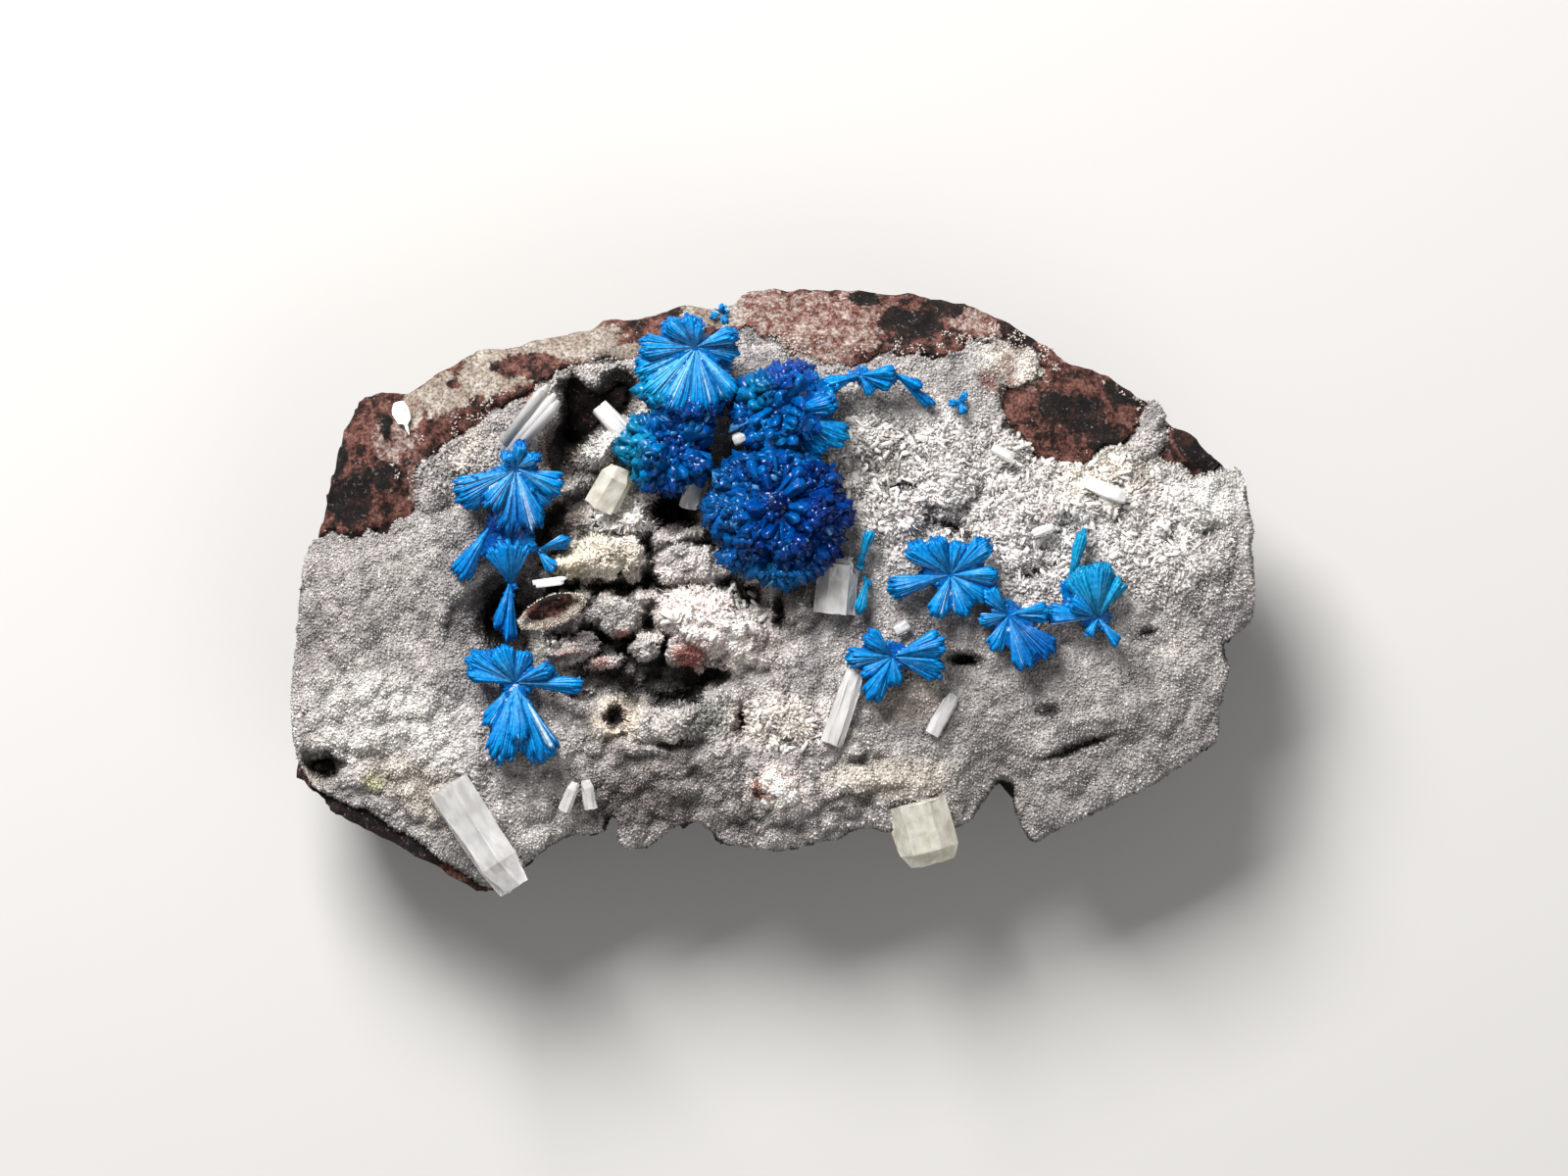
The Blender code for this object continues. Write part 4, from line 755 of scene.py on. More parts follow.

# %% [markdown]
# Cavansite grows as sprays of flat blades from a hub. The solids give each spray as a few wedges,
# so the same hubs and wedges are listed here, in millimetres, and each wedge is filled with blades
# that run from the hub to its toothed rim.

# %% Hubs and sheaves
# A hub is (X, Y, Z), a sheaf (direction, rise, length, half-spread, rim thickness) in degrees and
# mm, and pale the share of white at the hub, partly a paler colour of fine fibres and partly a
# painted highlight; over 2 it makes every top blade a painted reflection. Depth 0 is bright azure
# and 1 the deepest blue.
Spray = namedtuple("Spray", "hub depth pale sheaves")
SPRAYS = {
    "cavansite_left_rosette": [
        Spray((-26, 12.5, 23.5), 0.2, 0.9, [
            (207, -6, 7.2, 18, 2.2), (337, -4, 5.4, 17, 2), (262, -10, 6.8, 16, 2.2),
            (288, -4, 6.9, 13, 2), (79, 30, 3.2, 14, 1.3), (234, 2, 5.2, 14, 1.6),
            (130, 35, 2.4, 18, 1.2), (30, 24, 2.9, 16, 1.2), (312, -20, 5.4, 15, 1.8)]),
        Spray((-28.6, 6.8, 22.2), 0.5, 0.1, [(238, -12, 6.9, 11, 1.8)]),
        Spray((-26.5, 0.4, 20.9), 0.4, 0.2, [(97, 14, 5.4, 30, 1.3)]),
        Spray((-26, 5.4, 21.7), 0.6, 0, [
            (80, 10, 2.2, 30, 1.2), (190, 0, 2.2, 30, 1.2), (340, 0, 2.2, 30, 1.2)]),
        Spray((-23.9, 4.2, 21.7), 0.2, 0.2, [(18, 4, 3.7, 13, 1), (312, -4, 2.9, 16, 0.9)]),
        Spray((-26.6, 1.2, 20.9), 0.5, 0.1, [(270, -2, 6.9, 6, 1.4), (254, -8, 5.6, 7, 1.6)]),
    ],
    "cavansite_lower_bowtie": [
        Spray((-24.9, -11, 25.7), 0, 2.4, [(298, -3, 6.2, 3, 0.5)]),
        Spray((-26.1, -9.3, 23), 0.2, 0.5, [
            (150, -2, 5.8, 15, 1.8), (114, 6, 4.3, 20, 1.6), (170, 2, 5.2, 8, 1.7),
            (23, 16, 4.5, 12, 1.3), (358, 6, 7.3, 8, 1.7), (236, -8, 5.6, 11, 1.6),
            (259, 2, 8.5, 13, 2.2), (291, 4, 8.9, 14, 2.2), (275, 16, 6.8, 10, 1.6),
            (70, -4, 3.6, 18, 1.5)]),
    ],
    "cavansite_top_rosette": [
        Spray((-7.7, 24.8, 24.4), 0.15, 1, [
            (104, 16, 3.7, 13, 1.4), (79, 26, 3, 11, 1.2), (20, 12, 4.7, 14, 1.7),
            (350, -10, 4.6, 12, 1.7), (180, 2, 6.1, 15, 1.9), (203, -4, 7, 12, 1.9),
            (226, 0, 7.6, 13, 2), (252, 4, 7.4, 14, 2.2), (279, 6, 7.2, 14, 2.2),
            (306, 0, 6.7, 13, 2), (140, 14, 4.4, 15, 1.5)]),
        Spray((-9.9, 14.8, 22.9), 0.7, 0, [
            (178, 0, 5.6, 16, 2.2), (206, -6, 5.4, 14, 2), (238, -4, 5.6, 14, 2.2),
            (150, 4, 4.8, 14, 2), (262, 8, 4.6, 15, 2.2), (92, 20, 4.8, 18, 2),
            (40, 16, 4.6, 15, 2), (200, 40, 4.4, 16, 1.8), (320, 20, 4.4, 16, 1.8)]),
    ],
    "cavansite_central_cluster": [
        Spray((1, 18.2, 24), 0.62, 0, [
            (62, 14, 5, 15, 2.2), (92, 24, 4.6, 16, 2.2), (150, 2, 5, 15, 2), (186, 4, 4.8, 15, 2),
            (214, 10, 4.6, 14, 2), (122, 20, 4.4, 14, 2), (250, 42, 4.4, 18, 2),
            (330, 46, 4.6, 18, 2)]),
        Spray((1.4, 18, 24.2), 0.3, 0.2, [
            (338, 0, 7.2, 13, 1.8), (316, 0, 5.8, 13, 1.8), (14, 8, 5.6, 14, 2)]),
        Spray((0.6, 8.4, 23.6), 0.9, 0, [
            (180, 6, 7.4, 15, 2.4), (205, 0, 7.5, 14, 2.4), (152, 8, 7.2, 14, 2.4),
            (230, 2, 7.6, 14, 2.4), (255, 4, 7.7, 13, 2.4), (279, 8, 8.4, 13, 2.6),
            (304, 4, 7.8, 13, 2.4), (330, 6, 7.6, 14, 2.4), (356, 10, 7.4, 14, 2.4),
            (24, 14, 7.2, 14, 2.4), (52, 18, 6.8, 14, 2.2), (126, 14, 6.8, 14, 2.2),
            (190, 34, 6.4, 18, 2.4), (236, 32, 6.4, 17, 2.4), (288, 32, 6.4, 17, 2.4),
            (348, 36, 6.4, 18, 2.4), (88, 20, 7.2, 20, 2.4)]),
        Spray((9, 22, 23.2), 0.15, 0.25, [
            (197, 2, 4.2, 14, 1.7), (4, 6, 3.8, 14, 1.6), (338, 2, 3.6, 10, 1.4),
            (299, -4, 2.5, 12, 1.2)]),
        Spray((12.4, 22.2, 22.5), 0.15, 0.2, [(334, 4, 3.4, 10, 1.1), (320, -10, 5.6, 6, 1)]),
    ],
    "cavansite_right_rosettes": [
        Spray((18.2, 1.7, 23.2), 0.2, 0.4, [
            (146, 4, 5.5, 16, 1.9), (114, 10, 4.4, 15, 1.7), (193, -4, 6.9, 11, 1.8),
            (250, 0, 4.9, 15, 1.6), (290, 2, 4.7, 14, 1.5), (324, -2, 4.5, 14, 1.5),
            (358, 4, 5.1, 12, 1.5), (41, 8, 5.4, 15, 1.7), (76, 6, 3.8, 15, 1.4)]),
        Spray((24.1, -2.4, 22.7), 0.2, 0.35, [
            (132, 8, 3.8, 18, 1.5), (5, 8, 4.5, 15, 1.4), (318, 0, 6.3, 15, 1.9),
            (289, 2, 6.1, 14, 1.9), (245, -2, 4.2, 15, 1.5), (192, 0, 3.2, 16, 1.3)]),
        Spray((33.2, -2.7, 22.7), 0.25, 0.3, [
            (175, 0, 5.6, 13, 1.4), (118, 2, 5.6, 16, 1.6), (88, 6, 6.1, 16, 1.7),
            (60, 2, 4.8, 12, 1.5), (308, -4, 3.7, 10, 1.1), (242, 0, 2.2, 16, 1),
            (148, 12, 3.6, 15, 1.3)]),
        Spray((30.2, 0, 22.1), 0.1, 0.1, [(77, 12, 6.8, 6, 1.2)]),
    ],
    "cavansite_front_rosette": [
        Spray((12.3, -6.6, 23.1), 0.3, 0.25, [
            (16, 2, 5.8, 16, 1.7), (343, 0, 5.6, 16, 1.7), (138, 6, 3.8, 18, 1.5),
            (182, 0, 5, 14, 1.5), (242, -2, 5.3, 15, 1.6), (275, 4, 3.2, 17, 1.3),
            (212, -4, 3.8, 13, 1.3)]),
    ],
    "cavansite_upper_blade": [
        Spray((8.9, 2.3, 22.2), 0.1, 0.1, [(74, 8, 4.4, 8, 0.9)]),
    ],
    "cavansite_lower_blade": [
        Spray((9.8, 1.4, 21.9), 0.2, 0.1, [(255, 8, 4, 10, 1)]),
    ],
    "cavansite_top_spray": [
        Spray((-5.2, 28.4, 16.4), -0.2, 0.5, [
            (80, 16, 1.2, 24, 0.7), (190, 12, 1.2, 24, 0.7), (300, 12, 1.2, 24, 0.7)]),
    ],
    "cavansite_right_spray": [
        Spray((19.2, 19.2, 21.3), -0.2, 0.5, [
            (60, 22, 1.3, 24, 0.7), (180, 16, 1.2, 24, 0.7), (290, 16, 1.3, 24, 0.7)]),
    ],
}
# A fan's top and underside at its rim, and its half-height at the hub, as shares of its thickness
FAN_OVER, FAN_UNDER, HUB_SHARE = 0.55, 1.1, 0.35
BLOCKY = 0.61         # from this depth on, a spray is a dark ball of coarse blades and not a fan
print("sheaves:", sum(len(spray.sheaves) for sprays in SPRAYS.values() for spray in sprays))

# %% [markdown]
# The blues change with how the light enters: pale where fine blades crowd together at a hub, azure
# along a fan, teal at thin edges, and navy where the crystals are thick. Light and shade are painted
# on top: the pale at the hubs is partly a painted highlight, white lines on some top blades are
# painted reflections, a few stubs are painted paler as glints, and blades under the top row and
# stubs that face down are painted darker as shade. The groups' own local colours are ovals again,
# like the tints of the druse.

# %% Blues
PALE, AZURE, DEEP, NIGHT, REFLECTION_WHITE = (
    dye(text) for text in ("#7CC6EE", "#0090D0", "#0056A6", "#001F5E", "#E4F1FA"))
DARKEST = 1.8         # the depth at which the blue is NIGHT
BLUE_TINTS = [
    ("#1597B4", 0.75, (-14.4, 14, 1.8, 5)), ("#1273B4", 0.55, (-5.2, 8, 2.8, 5.5)),
    ("#1583BC", 0.55, (-0.5, 1.2, 5, 2)), ("#1C3CA6", 0.4, (2, 22.2, 2.2, 1.2)),
    ("#1590B6", 0.6, (-1.2, 20, 1.4, 1.6)), ("#04103A", 0.85, (0.8, 8.6, 1.3, 1)),
    ("#0A2A80", 0.5, (5, 7.6, 3.4, 4.2)), ("#1690C0", 0.75, (7.8, 15.6, 2.6, 2.8)),
    ("#17A0BC", 0.6, (36, 3, 3.4, 5.5)), ("#17A0BC", 0.6, (-12.6, 20.6, 2.4, 2.2)),
    ("#0B3F98", 0.6, (28.2, -5.4, 3, 2.6)), ("#18A2BE", 0.7, (31.4, 3.4, 1.4, 3.6)),
    ("#0A3C8C", 0.7, (-24.6, -3, 1.6, 3)), ("#1788C4", 0.5, (-24, 4.6, 2.6, 2)),
    ("#0C3C8C", 0.5, (-26.4, 7, 3.2, 1.6)), ("#18A0C0", 0.6, (9.6, 2, 2, 5.5)),
]


def local_blue(colours, spots):
    """The colours with the groups' own tints laid over them, one spot for each row."""
    x, y, _ = spots.T
    for shade, strength, patch in BLUE_TINTS:
        share = (strength * soft_patch(x, y, patch)).reshape(-1, *[1] * (colours.ndim - 1))
        colours = colours + share * (dye(shade) - colours)
    return colours


def by_depth(shade):
    """Azure at 0, deep blue at 1, night blue from DARKEST on."""
    shade = clamp(shade, 0, DARKEST)[..., None]
    low, high = clamp(shade), clamp(shade - 0.8)
    body = AZURE + low * (DEEP - AZURE)
    return body + high * (NIGHT - body)


# %% One blade and one stub
def blade(bm):
    """A three-sided bar along Z from 0 to 1, narrow at the root, with a chisel tip."""
    bmesh.ops.create_cone(bm, cap_ends=True, segments=3, radius1=0.5, radius2=0.5, depth=1.0,
                          matrix=Matrix.Translation((0, 0, 0.5)))
    for cut in (0.5, 0.9):
        bmesh.ops.bisect_plane(bm, geom=bm.verts[:] + bm.edges[:] + bm.faces[:],
                               plane_co=(0, 0, cut), plane_no=(0, 0, 1))
    for v in bm.verts:
        wide = 0.30 + 0.70 * min(1.0, v.co.z / 0.9)
        tip = 1.0 if v.co.z < 0.95 else 0.45
        v.co.x *= wide * tip
        v.co.y *= wide * tip


def stub(bm):
    """A stubby four-sided crystal with a slanting end, for the rims and the dark balls."""
    bmesh.ops.create_cone(bm, cap_ends=True, segments=4, radius1=0.55, radius2=0.66, depth=1.0,
                          matrix=Matrix.Translation((0, 0, 0.1)))
    for v in bm.verts:
        if v.co.z > 0.5:
            v.co.z += 0.35 * v.co.x
            v.co.x *= 0.80
            v.co.y *= 0.62


BLADE, STUB = shape_of(blade), shape_of(stub)
along = BLADE[0][:, 2]          # how far along the blade each of its corners is
print("blade:", len(BLADE[0]), "corners, stub:", len(STUB[0]), "corners")

# %% [markdown]
# Each group is made of three layers. A core, the group's solid as a smooth dark blue skin, closes
# the gaps. On each fan lie its blades, from a coarse underside to a fine top row, with the rim
# notched into lobes about a millimetre wide. Stubby crystals stand on the core's rims. The blades
# of the dark balls are coarser and looser, with a few stubs among them.

# %% Blades of one fan
# Each row of blades in a fan: how far up its thickness it lies, and its spacing in mm
ROWS = [(0.10, 0.46), (0.40, 0.40), (0.70, 0.34), (0.90, 0.27), (1.0, 0.24)]
LOBE = 1.15           # width in mm of the rim's lobes
BOLD = 2.4            # how much coarser the blades of the dark balls are
BLADE_WIDE, BLADE_THICK, FULLER = (0.30, 0.50), (0.20, 0.32), 1.3     # mm, and what fills the gaps


def sheaf_blades(hub, sheaf, bold):
    """Root, direction and length of each blade of one sheaf, and how far over its middle it lies.
    bold is how much coarser than a fan's its blades are."""
    heading, rise, length, spread, rim = sheaf
    turn = (Matrix.Rotation(math.radians(heading), 3, "Z")
            @ Matrix.Rotation(-math.radians(rise), 3, "Y"))
    rim_width = 2 * math.radians(spread) * length
    phase = chance.uniform(0, 2)
    rows = []
    for over, spacing in ROWS:
        across = max(3, round(rim_width / (spacing * bold)))
        for step in range(across):
            place = 2 * (step + chance.uniform(0.1, 0.9)) / across - 1
            angle = math.radians(spread) * place
            notch = 0.5 + 0.5 * math.cos(math.pi * (place * rim_width / LOBE + phase))
            reach = length * (1 - 0.10 * place ** 2) * (1 - 0.09 * notch)
            reach *= chance.uniform(0.96 - 0.04 * bold, 1.0)
            height = ((FAN_OVER + FAN_UNDER) * over - FAN_UNDER) * (1 - 0.35 * place ** 2)
            start = Vector((0.06 * length, 0.0, 0.8 * HUB_SHARE * height * rim))
            end = Vector((reach * math.cos(angle), reach * math.sin(angle), 0.94 * height * rim))
            rows.append((*(Vector(hub) + turn @ start), *(turn @ (end - start)), over))
    return np.array(rows)


def fan_blades(name, sprays):
    every = []
    for spray in sprays:
        bold = BOLD if spray.depth >= BLOCKY else 1.0
        rows = np.concatenate([sheaf_blades(spray.hub, sheaf, bold) for sheaf in spray.sheaves])
        every.append(np.hstack([rows, np.tile([spray.depth, spray.pale, bold], (len(rows), 1))]))
    rows = np.concatenate(every)
    count = len(rows)
    roots, runs, over, depth, pale, bold = rows[:, :3], rows[:, 3:6], *rows[:, 6:].T
    loose = (bold - 1)[:, None]         # nothing for the blades of a fan
    roots = roots + 0.36 * loose * chance.normal(size=(count, 3)) * [1, 1, 0.5]
    lengths = np.linalg.norm(runs, axis=1) * (1 - 0.08 * loose[:, 0] * chance.random(count))
    runs = unit(unit(runs) + 0.05 * loose * chance.normal(size=(count, 3))) * lengths[:, None]
    axes = frames(unit(runs), math.pi + chance.normal(0, 0.25, count))      # a flat side up
    width = chance.uniform(*BLADE_WIDE, (count, 1)) * FULLER * bold[:, None]
    axes[:, 0] *= width * (1 + 0.3 * loose * chance.random((count, 1)))
    thickness = chance.uniform(*BLADE_THICK, (count, 1)) * FULLER
    axes[:, 1] *= thickness * (0.5 + 0.5 * bold[:, None])
    axes[:, 2] *= lengths[:, None]
    # Painted shade: blades lower in the fan, under the top row, are painted a deeper blue.
    shade = depth + 0.6 * (1 - over) + chance.normal(0, 0.16, count)
    body = by_depth(np.repeat(shade[:, None], len(along), axis=1))
    body = local_blue(body, roots + 0.7 * runs) * chance.uniform(0.82, 1.12, (count, 1, 1))
    body *= np.where(bold > 1, 0.86, 1.06)[:, None, None]
    # Some blades are pale from the hub on, partly as paler fibres and partly as a painted highlight,
    # and a few of the top row are white lines, which are painted reflections. Where pale is over 2,
    # all of them are.
    streak = pale * over * chance.uniform(0.1, 1.3, count)
    streak = clamp(streak[:, None] * clamp(1 - along / 0.8))
    reflection_line = (over > 0.85) & (chance.random(count) < np.where(pale > 2, 1.0, 0.14 * pale))
    reflection_line = reflection_line * chance.uniform(0.25, 0.75, count) ** np.where(pale > 2, 0.2, 1.0)
    colours = body + streak[:, :, None] * (PALE - body)
    colours = colours + (reflection_line[:, None] * (along < 0.95))[:, :, None] * (REFLECTION_WHITE - colours)
    axes[:, :2] *= (clamp(0.4 + lengths / 5) * (1 - 0.4 * (reflection_line > 0)))[:, None, None]
    return lay_copies(name, BLADE, roots, axes, colours)


# %% Stubs on the core
BARE_PETAL = (6.6, 15.6, 3.4, 3.0)     # a smooth teal petal beside the dark balls
STUB_SPACING, STUBS_ON_BALLS = 0.54, 0.14     # mm, and the share of places with a stub on a ball


def nearest_spray(spots, sprays):
    """The way to each spot from the nearest hub, in mm, and the depth of that spray."""
    ways = spots[:, None, :] - np.array([spray.hub for spray in sprays])
    which = np.argmin(np.linalg.norm(ways, axis=2), axis=1)
    return ways[np.arange(len(spots)), which], np.array([spray.depth for spray in sprays])[which]


def core_stubs(name, core, sprays):
    def wanted(found, facing):
        _, depth = nearest_spray(found, sprays)
        petal = oval(found[:, 0], found[:, 1], *BARE_PETAL) < 1
        few = chance.random(len(found)) < STUBS_ON_BALLS
        on_rim = (facing[:, 2] < 0.45) & (facing[:, 2] > -0.85)
        return ((depth >= BLOCKY) & ~petal & few) | on_rim

    spots, facing, _ = seeds_on(core.data, STUB_SPACING, wanted)
    out, depth = nearest_spray(spots, sprays)
    big = depth >= BLOCKY
    count = len(spots)
    rim = clamp(1 - 1.4 * np.abs(facing[:, 2]))
    aim = unit(0.7 * unit(out) + 0.8 * facing + 0.30 * chance.normal(size=(count, 3)))
    across = unit(np.cross(facing, aim) + 0.3 * chance.normal(size=(count, 3)))
    across = unit(across - (across * aim).sum(axis=1)[:, None] * aim)
    size = np.where(big, 0.75 + 0.95 * chance.random(count) ** 2, chance.uniform(0.32, 0.6, count))
    thin = size * np.where(big, chance.uniform(0.45, 0.9, count), chance.uniform(0.55, 0.9, count))
    long = size * np.where(big, chance.uniform(0.9, 1.3, count), chance.uniform(0.9, 1.7, count))
    axes = np.stack([across * size[:, None], np.cross(aim, across) * thin[:, None],
                     aim * long[:, None]], axis=1)
    sink = np.where(big, 0.40 - 0.25 * rim, 0.3)
    # Painted shade: stubs that face down are painted a deeper blue.
    shade = depth * 1.45 + 0.25 * (facing[:, 2] < 0) + chance.normal(0, 0.22, count)
    colours = local_blue(by_depth(shade), spots) * chance.uniform(0.65, 1.1, (count, 1))
    colours *= np.where(big, 0.8, 1.0)[:, None]
    # Painted glints: a few stubs are painted paler.
    bright = (chance.random(count) < 0.05)[:, None]
    colours = np.where(bright, colours + 0.35 * (PALE - colours), colours)
    return lay_copies(name, STUB, spots - (sink * long)[:, None] * aim, axes, colours)


GROOVES = (18, 158, 205, 248, 286, 332)     # headings in degrees of the creases between petals
GROOVE_WIDTH = 9                            # degrees


def spray_core(name, node, sprays):
    core = fine_skin(node, name, square=0.42, rounds=4)
    spots, normals = places(core.data)
    away, depth = nearest_spray(spots, sprays)
    blocky = depth >= BLOCKY
    lift = waved(0.16 * knobs(spots, 1.2, 6.0), spots, (0.10, 0.7, 3.0)) - 0.34 + 0.22 * blocky
    heading = np.degrees(np.arctan2(away[:, 1], away[:, 0])) + 14 * wander(spots, 2.5, 9.0)
    shallow = clamp(np.linalg.norm(away[:, :2], axis=1) / 4, 0.2, 1)    # near the hub
    for groove in GROOVES:
        off = (heading - groove + 180) % 360 - 180
        lift -= blocky * 0.5 * np.exp(-(off / GROOVE_WIDTH) ** 2) * shallow
    spots = spots + normals * lift[:, None]
    put_places(core.data, spots)
    shade = waved(1.1 * depth + 0.45, spots, (0.3, 1.1, 2.0))
    paint(core.data, local_blue(by_depth(shade), spots) * 0.8)
    return core


# %% [markdown]
# Cavansite is a glassy, saturated blue mineral. Unevenness too fine for the mesh comes from noise
# of a third of a millimetre in the bump. The thick crystals of the dark balls have smoother faces
# than the fibrous fans.

# %% Blue cavansite
BLUE_NOISE = dict(size=0.35, detail=4.0, depth=0.08)
fibrous = tinted_material("fibrous_blue_cavansite", 0.26, "#9DB2CC", strength=0.5, shine=0.24,
                          **BLUE_NOISE)
glassy = tinted_material("glassy_blue_cavansite", 0.12, "#8FA2C8", strength=0.25, shine=0.22,
                         **BLUE_NOISE)
for node, sprays in SPRAYS.items():
    slot, blade_material = "cavansite", fibrous
    if node == "cavansite_central_cluster":
        slot, blade_material = "deep_cavansite", glassy
    core = spray_core(node + "_core", node, sprays)
    stubs = core_stubs(node + "_stubs", core, sprays)
    finish_piece(core, glassy, slot, node)
    finish_piece(stubs, glassy, slot)
    finish_piece(fan_blades(node + "_blades", sprays), blade_material, slot)

# %% [markdown]
# The basalt is an old lava: red-brown from iron, with near-black patches, pale specks and tiny gas
# holes. Large patches are painted on the skin's corners as three weights, and noise in the shader
# breaks their edges up, so that nothing looks like an airbrushed oval. Some of the near-black is
# painted shade: in the hollow, in the hole at the left edge and along the low sides. Where the crust
# was sunk, the basalt under it goes down too, so that it never shows through.

# %% The basalt's skin and patches
# Near-black patches: most are the basalt's own, but those in the hollow at (-18, 18.4), in the hole
# at the left edge and on the lower-left side are painted shade.
NEAR_BLACK_AND_SHADE = [
    (-41, -24, 9, 3.6, -33), (-46.2, -18.2, 2.4, 2), (-18, 18.4, 5.4, 5), (-14, 12, 6, 6),
    (9.8, 30.1, 1.6, 0.8), (14.3, 27.6, 3.4, 1.5), (17.7, 29.3, 2.2, 1.3),
    (30.4, 18.4, 3.6, 1.9, -12), (33.6, 15.8, 2.6, 1.4, -20), (44, 15, 3.6, 2.2, -45),
    (-43, 9.6, 2.6, 3), (-39.6, 12, 2.2, 1.4), (25, 26.4, 2.4, 1, -35), (-44.6, 13.6, 1.2, 2.4),
    (36, 20.2, 2.4, 1, -25), (-10, 29, 2, 0.7), (-39.4, 16.8, 0.7, 1.6),
]
CREAM = [
    (-37, 18.6, 1.2, 2.2, -20), (-33.4, 20.4, 2.6, 2.6, 40), (-27.6, 22.8, 5, 2.6, 12),
    (-19.6, 25.2, 5.2, 1.7, 12), (-14.4, 24.6, 2.2, 1), (-5.8, 28.6, 3.2, 1.6),
    (-24, 25, 4.6, 1.4, 12), (40.2, 18.2, 1.6, 1.2),
]
BROWN_ISLANDS = [
    (-25.4, 23.2, 3.4, 1.2, 6), (-31.5, 16.9, 1.9, 1.1, 30), (-32.8, 21.1, 0.7, 0.4),
]
MOTTLED = [
    (3.8, 27.2, 7.8, 4), (-1, 29.6, 3.6, 1.6), (21, 27.4, 3.6, 1.6, -25), (-36, 11, 1.4, 3),
    (-38.6, 15.4, 2.4, 2.6), (24.4, 23.2, 3.2, 2.4, -30),
]

LOW = 3.0             # mm over the underside, where the rays that look for the crust start
CRUST_FROM = 8.0      # mm over the underside, where the crust is looked for
UNDER_CRUST = 0.25    # mm that the basalt stays under it
FLAT_SOLE = 0.4       # mm over the underside up to which the basalt stays flat

stone = fine_skin("basalt_matrix", "basalt_skin", square=0.62, rounds=2)
spots, normals = places(stone.data)
sides = 1 - clamp((spots[:, 2] - 9) / 6)
rough = waved(0, spots, (0.34, 2.6), (0.22, 1.2, 7.0)) + 0.5 * wander(spots, 6.0, 3.0) * sides
spots = spots + normals * (rough - 0.3)[:, None] * (spots[:, 2] > FLAT_SOLE)[:, None]
crust = ray_tree(bed.data)
for i, (px, py, pz) in enumerate(spots):
    if pz > CRUST_FROM:
        hit = crust.ray_cast(Vector((px, py, LOW)), UP)[0]
        if hit is not None and hit.z - UNDER_CRUST < pz and hit.z > CRUST_FROM:
            spots[i, 2] = hit.z - UNDER_CRUST
put_places(stone.data, spots)
x, y, z = spots.T
black_and_shade, cream, islands, mottled = (
    any_patch(x, y, patches, 0.6) for patches in (NEAR_BLACK_AND_SHADE, CREAM, BROWN_ISLANDS, MOTTLED))
weights = np.stack([black_and_shade, cream * (1 - islands), mottled], axis=1)
# The sides are plainer, and darker with painted shade.
low = clamp((waved(SIDES + 1, spots, (2.2, 2.6, 8.0)) - z) / 2)
weights *= (1 - 0.65 * low)[:, None]
weights[:, 0] = np.maximum(weights[:, 0], 0.8 * low)
paint(stone.data, weights, "patches")
print("basalt skin:", len(spots), "corners")

# %% [markdown]
# Basalt scatters light from a fine broken grain, so it is rough, with an IOR near 1.5 on its few
# fresh crystal faces. Noise of five sizes makes it: 2.6 mm clouds that break the painted patches
# up, 1.7 mm mottles, 0.9 mm veins, pale specks of 0.6 mm, and a dark grain of 0.3 mm.

# %% Red-brown basalt
basalt, tree, shader = new_material("red_brown_basalt", 0.80, 1.5)
shader.inputs["Specular IOR Level"].default_value = 0.2
coords = add_node(tree, "TexCoord").outputs["Object"]
patches = add_node(tree, "Attribute", {"attribute_name": "patches"}).outputs["Color"]
split = add_node(tree, "SeparateColor", links={"Color": patches})
NOISES = {"clouds": (2.6, 12.0, 0.72), "mottles": (1.7, 12.0, 0.75), "specks": (0.6, 12.0, 0.85),
          "grains": (0.3, 6.0, 0.6), "veins": (0.9, 10.0, 0.8)}     # size in mm, detail, roughness
APART = np.array((0.013, 0.007, 0.003))     # metres from one noise's pattern to the next one's
BITE = 1.9            # how far the clouds move the edge of a patch
field = {}
for i, (name, (size, detail, rough)) in enumerate(NOISES.items()):
    shifted = add_node(tree, "Mapping", {}, {"Location": APART * i}, {"Vector": coords})
    field[name] = add_node(tree, "TexNoise", {},
                           {"Scale": grain(size), "Detail": detail, "Roughness": rough},
                           {"Vector": shifted.outputs[0]}).outputs["Fac"]


def broken(weight):
    """A patch's weight with its edge broken up by the clouds."""
    lifted = add_node(tree, "Math", {"operation": "MULTIPLY_ADD"},
                      {1: BITE, 2: -0.5 * BITE}, {0: field["clouds"]})
    total = add_node(tree, "Math", {"operation": "ADD"}, {},
                     {0: weight, 1: lifted.outputs[0]})
    sharp = add_node(tree, "MapRange", {"interpolation_type": "SMOOTHSTEP"},
                     {"From Min": 0.43, "From Max": 0.57}, {"Value": total.outputs[0]})
    return sharp.outputs[0]


SHADES = {
    "red": ("mottles", (
        (0.42, "#1B1412"), (0.47, "#38211C"), (0.51, "#623D35"), (0.64, "#885F55"))),
    "black": ("mottles", (
        (0.40, "#0E0C0B"), (0.52, "#1D1715"), (0.58, "#3A231E"), (0.72, "#5A372F"))),
    "cream": ("clouds", (
        (0.32, "#6E5549"), (0.41, "#938275"), (0.52, "#A89C90"), (0.66, "#C4BCB1"))),
    "veined": ("veins", (
        (0.38, "#4E2C26"), (0.46, "#7C5248"), (0.54, "#A8948B"), (0.68, "#CFC7C0"))),
}
shade = {name: add_node(tree, "ValToRGB", links={"Fac": field[noise_name]},
                        stops=stops).outputs["Color"]
         for name, (noise_name, stops) in SHADES.items()}
speck = add_node(tree, "MapRange", {},
                 {"From Min": 0.575, "From Max": 0.62, "To Max": 0.8}, {"Value": field["specks"]})
shade["speck"] = add_node(tree, "RGB").outputs[0]
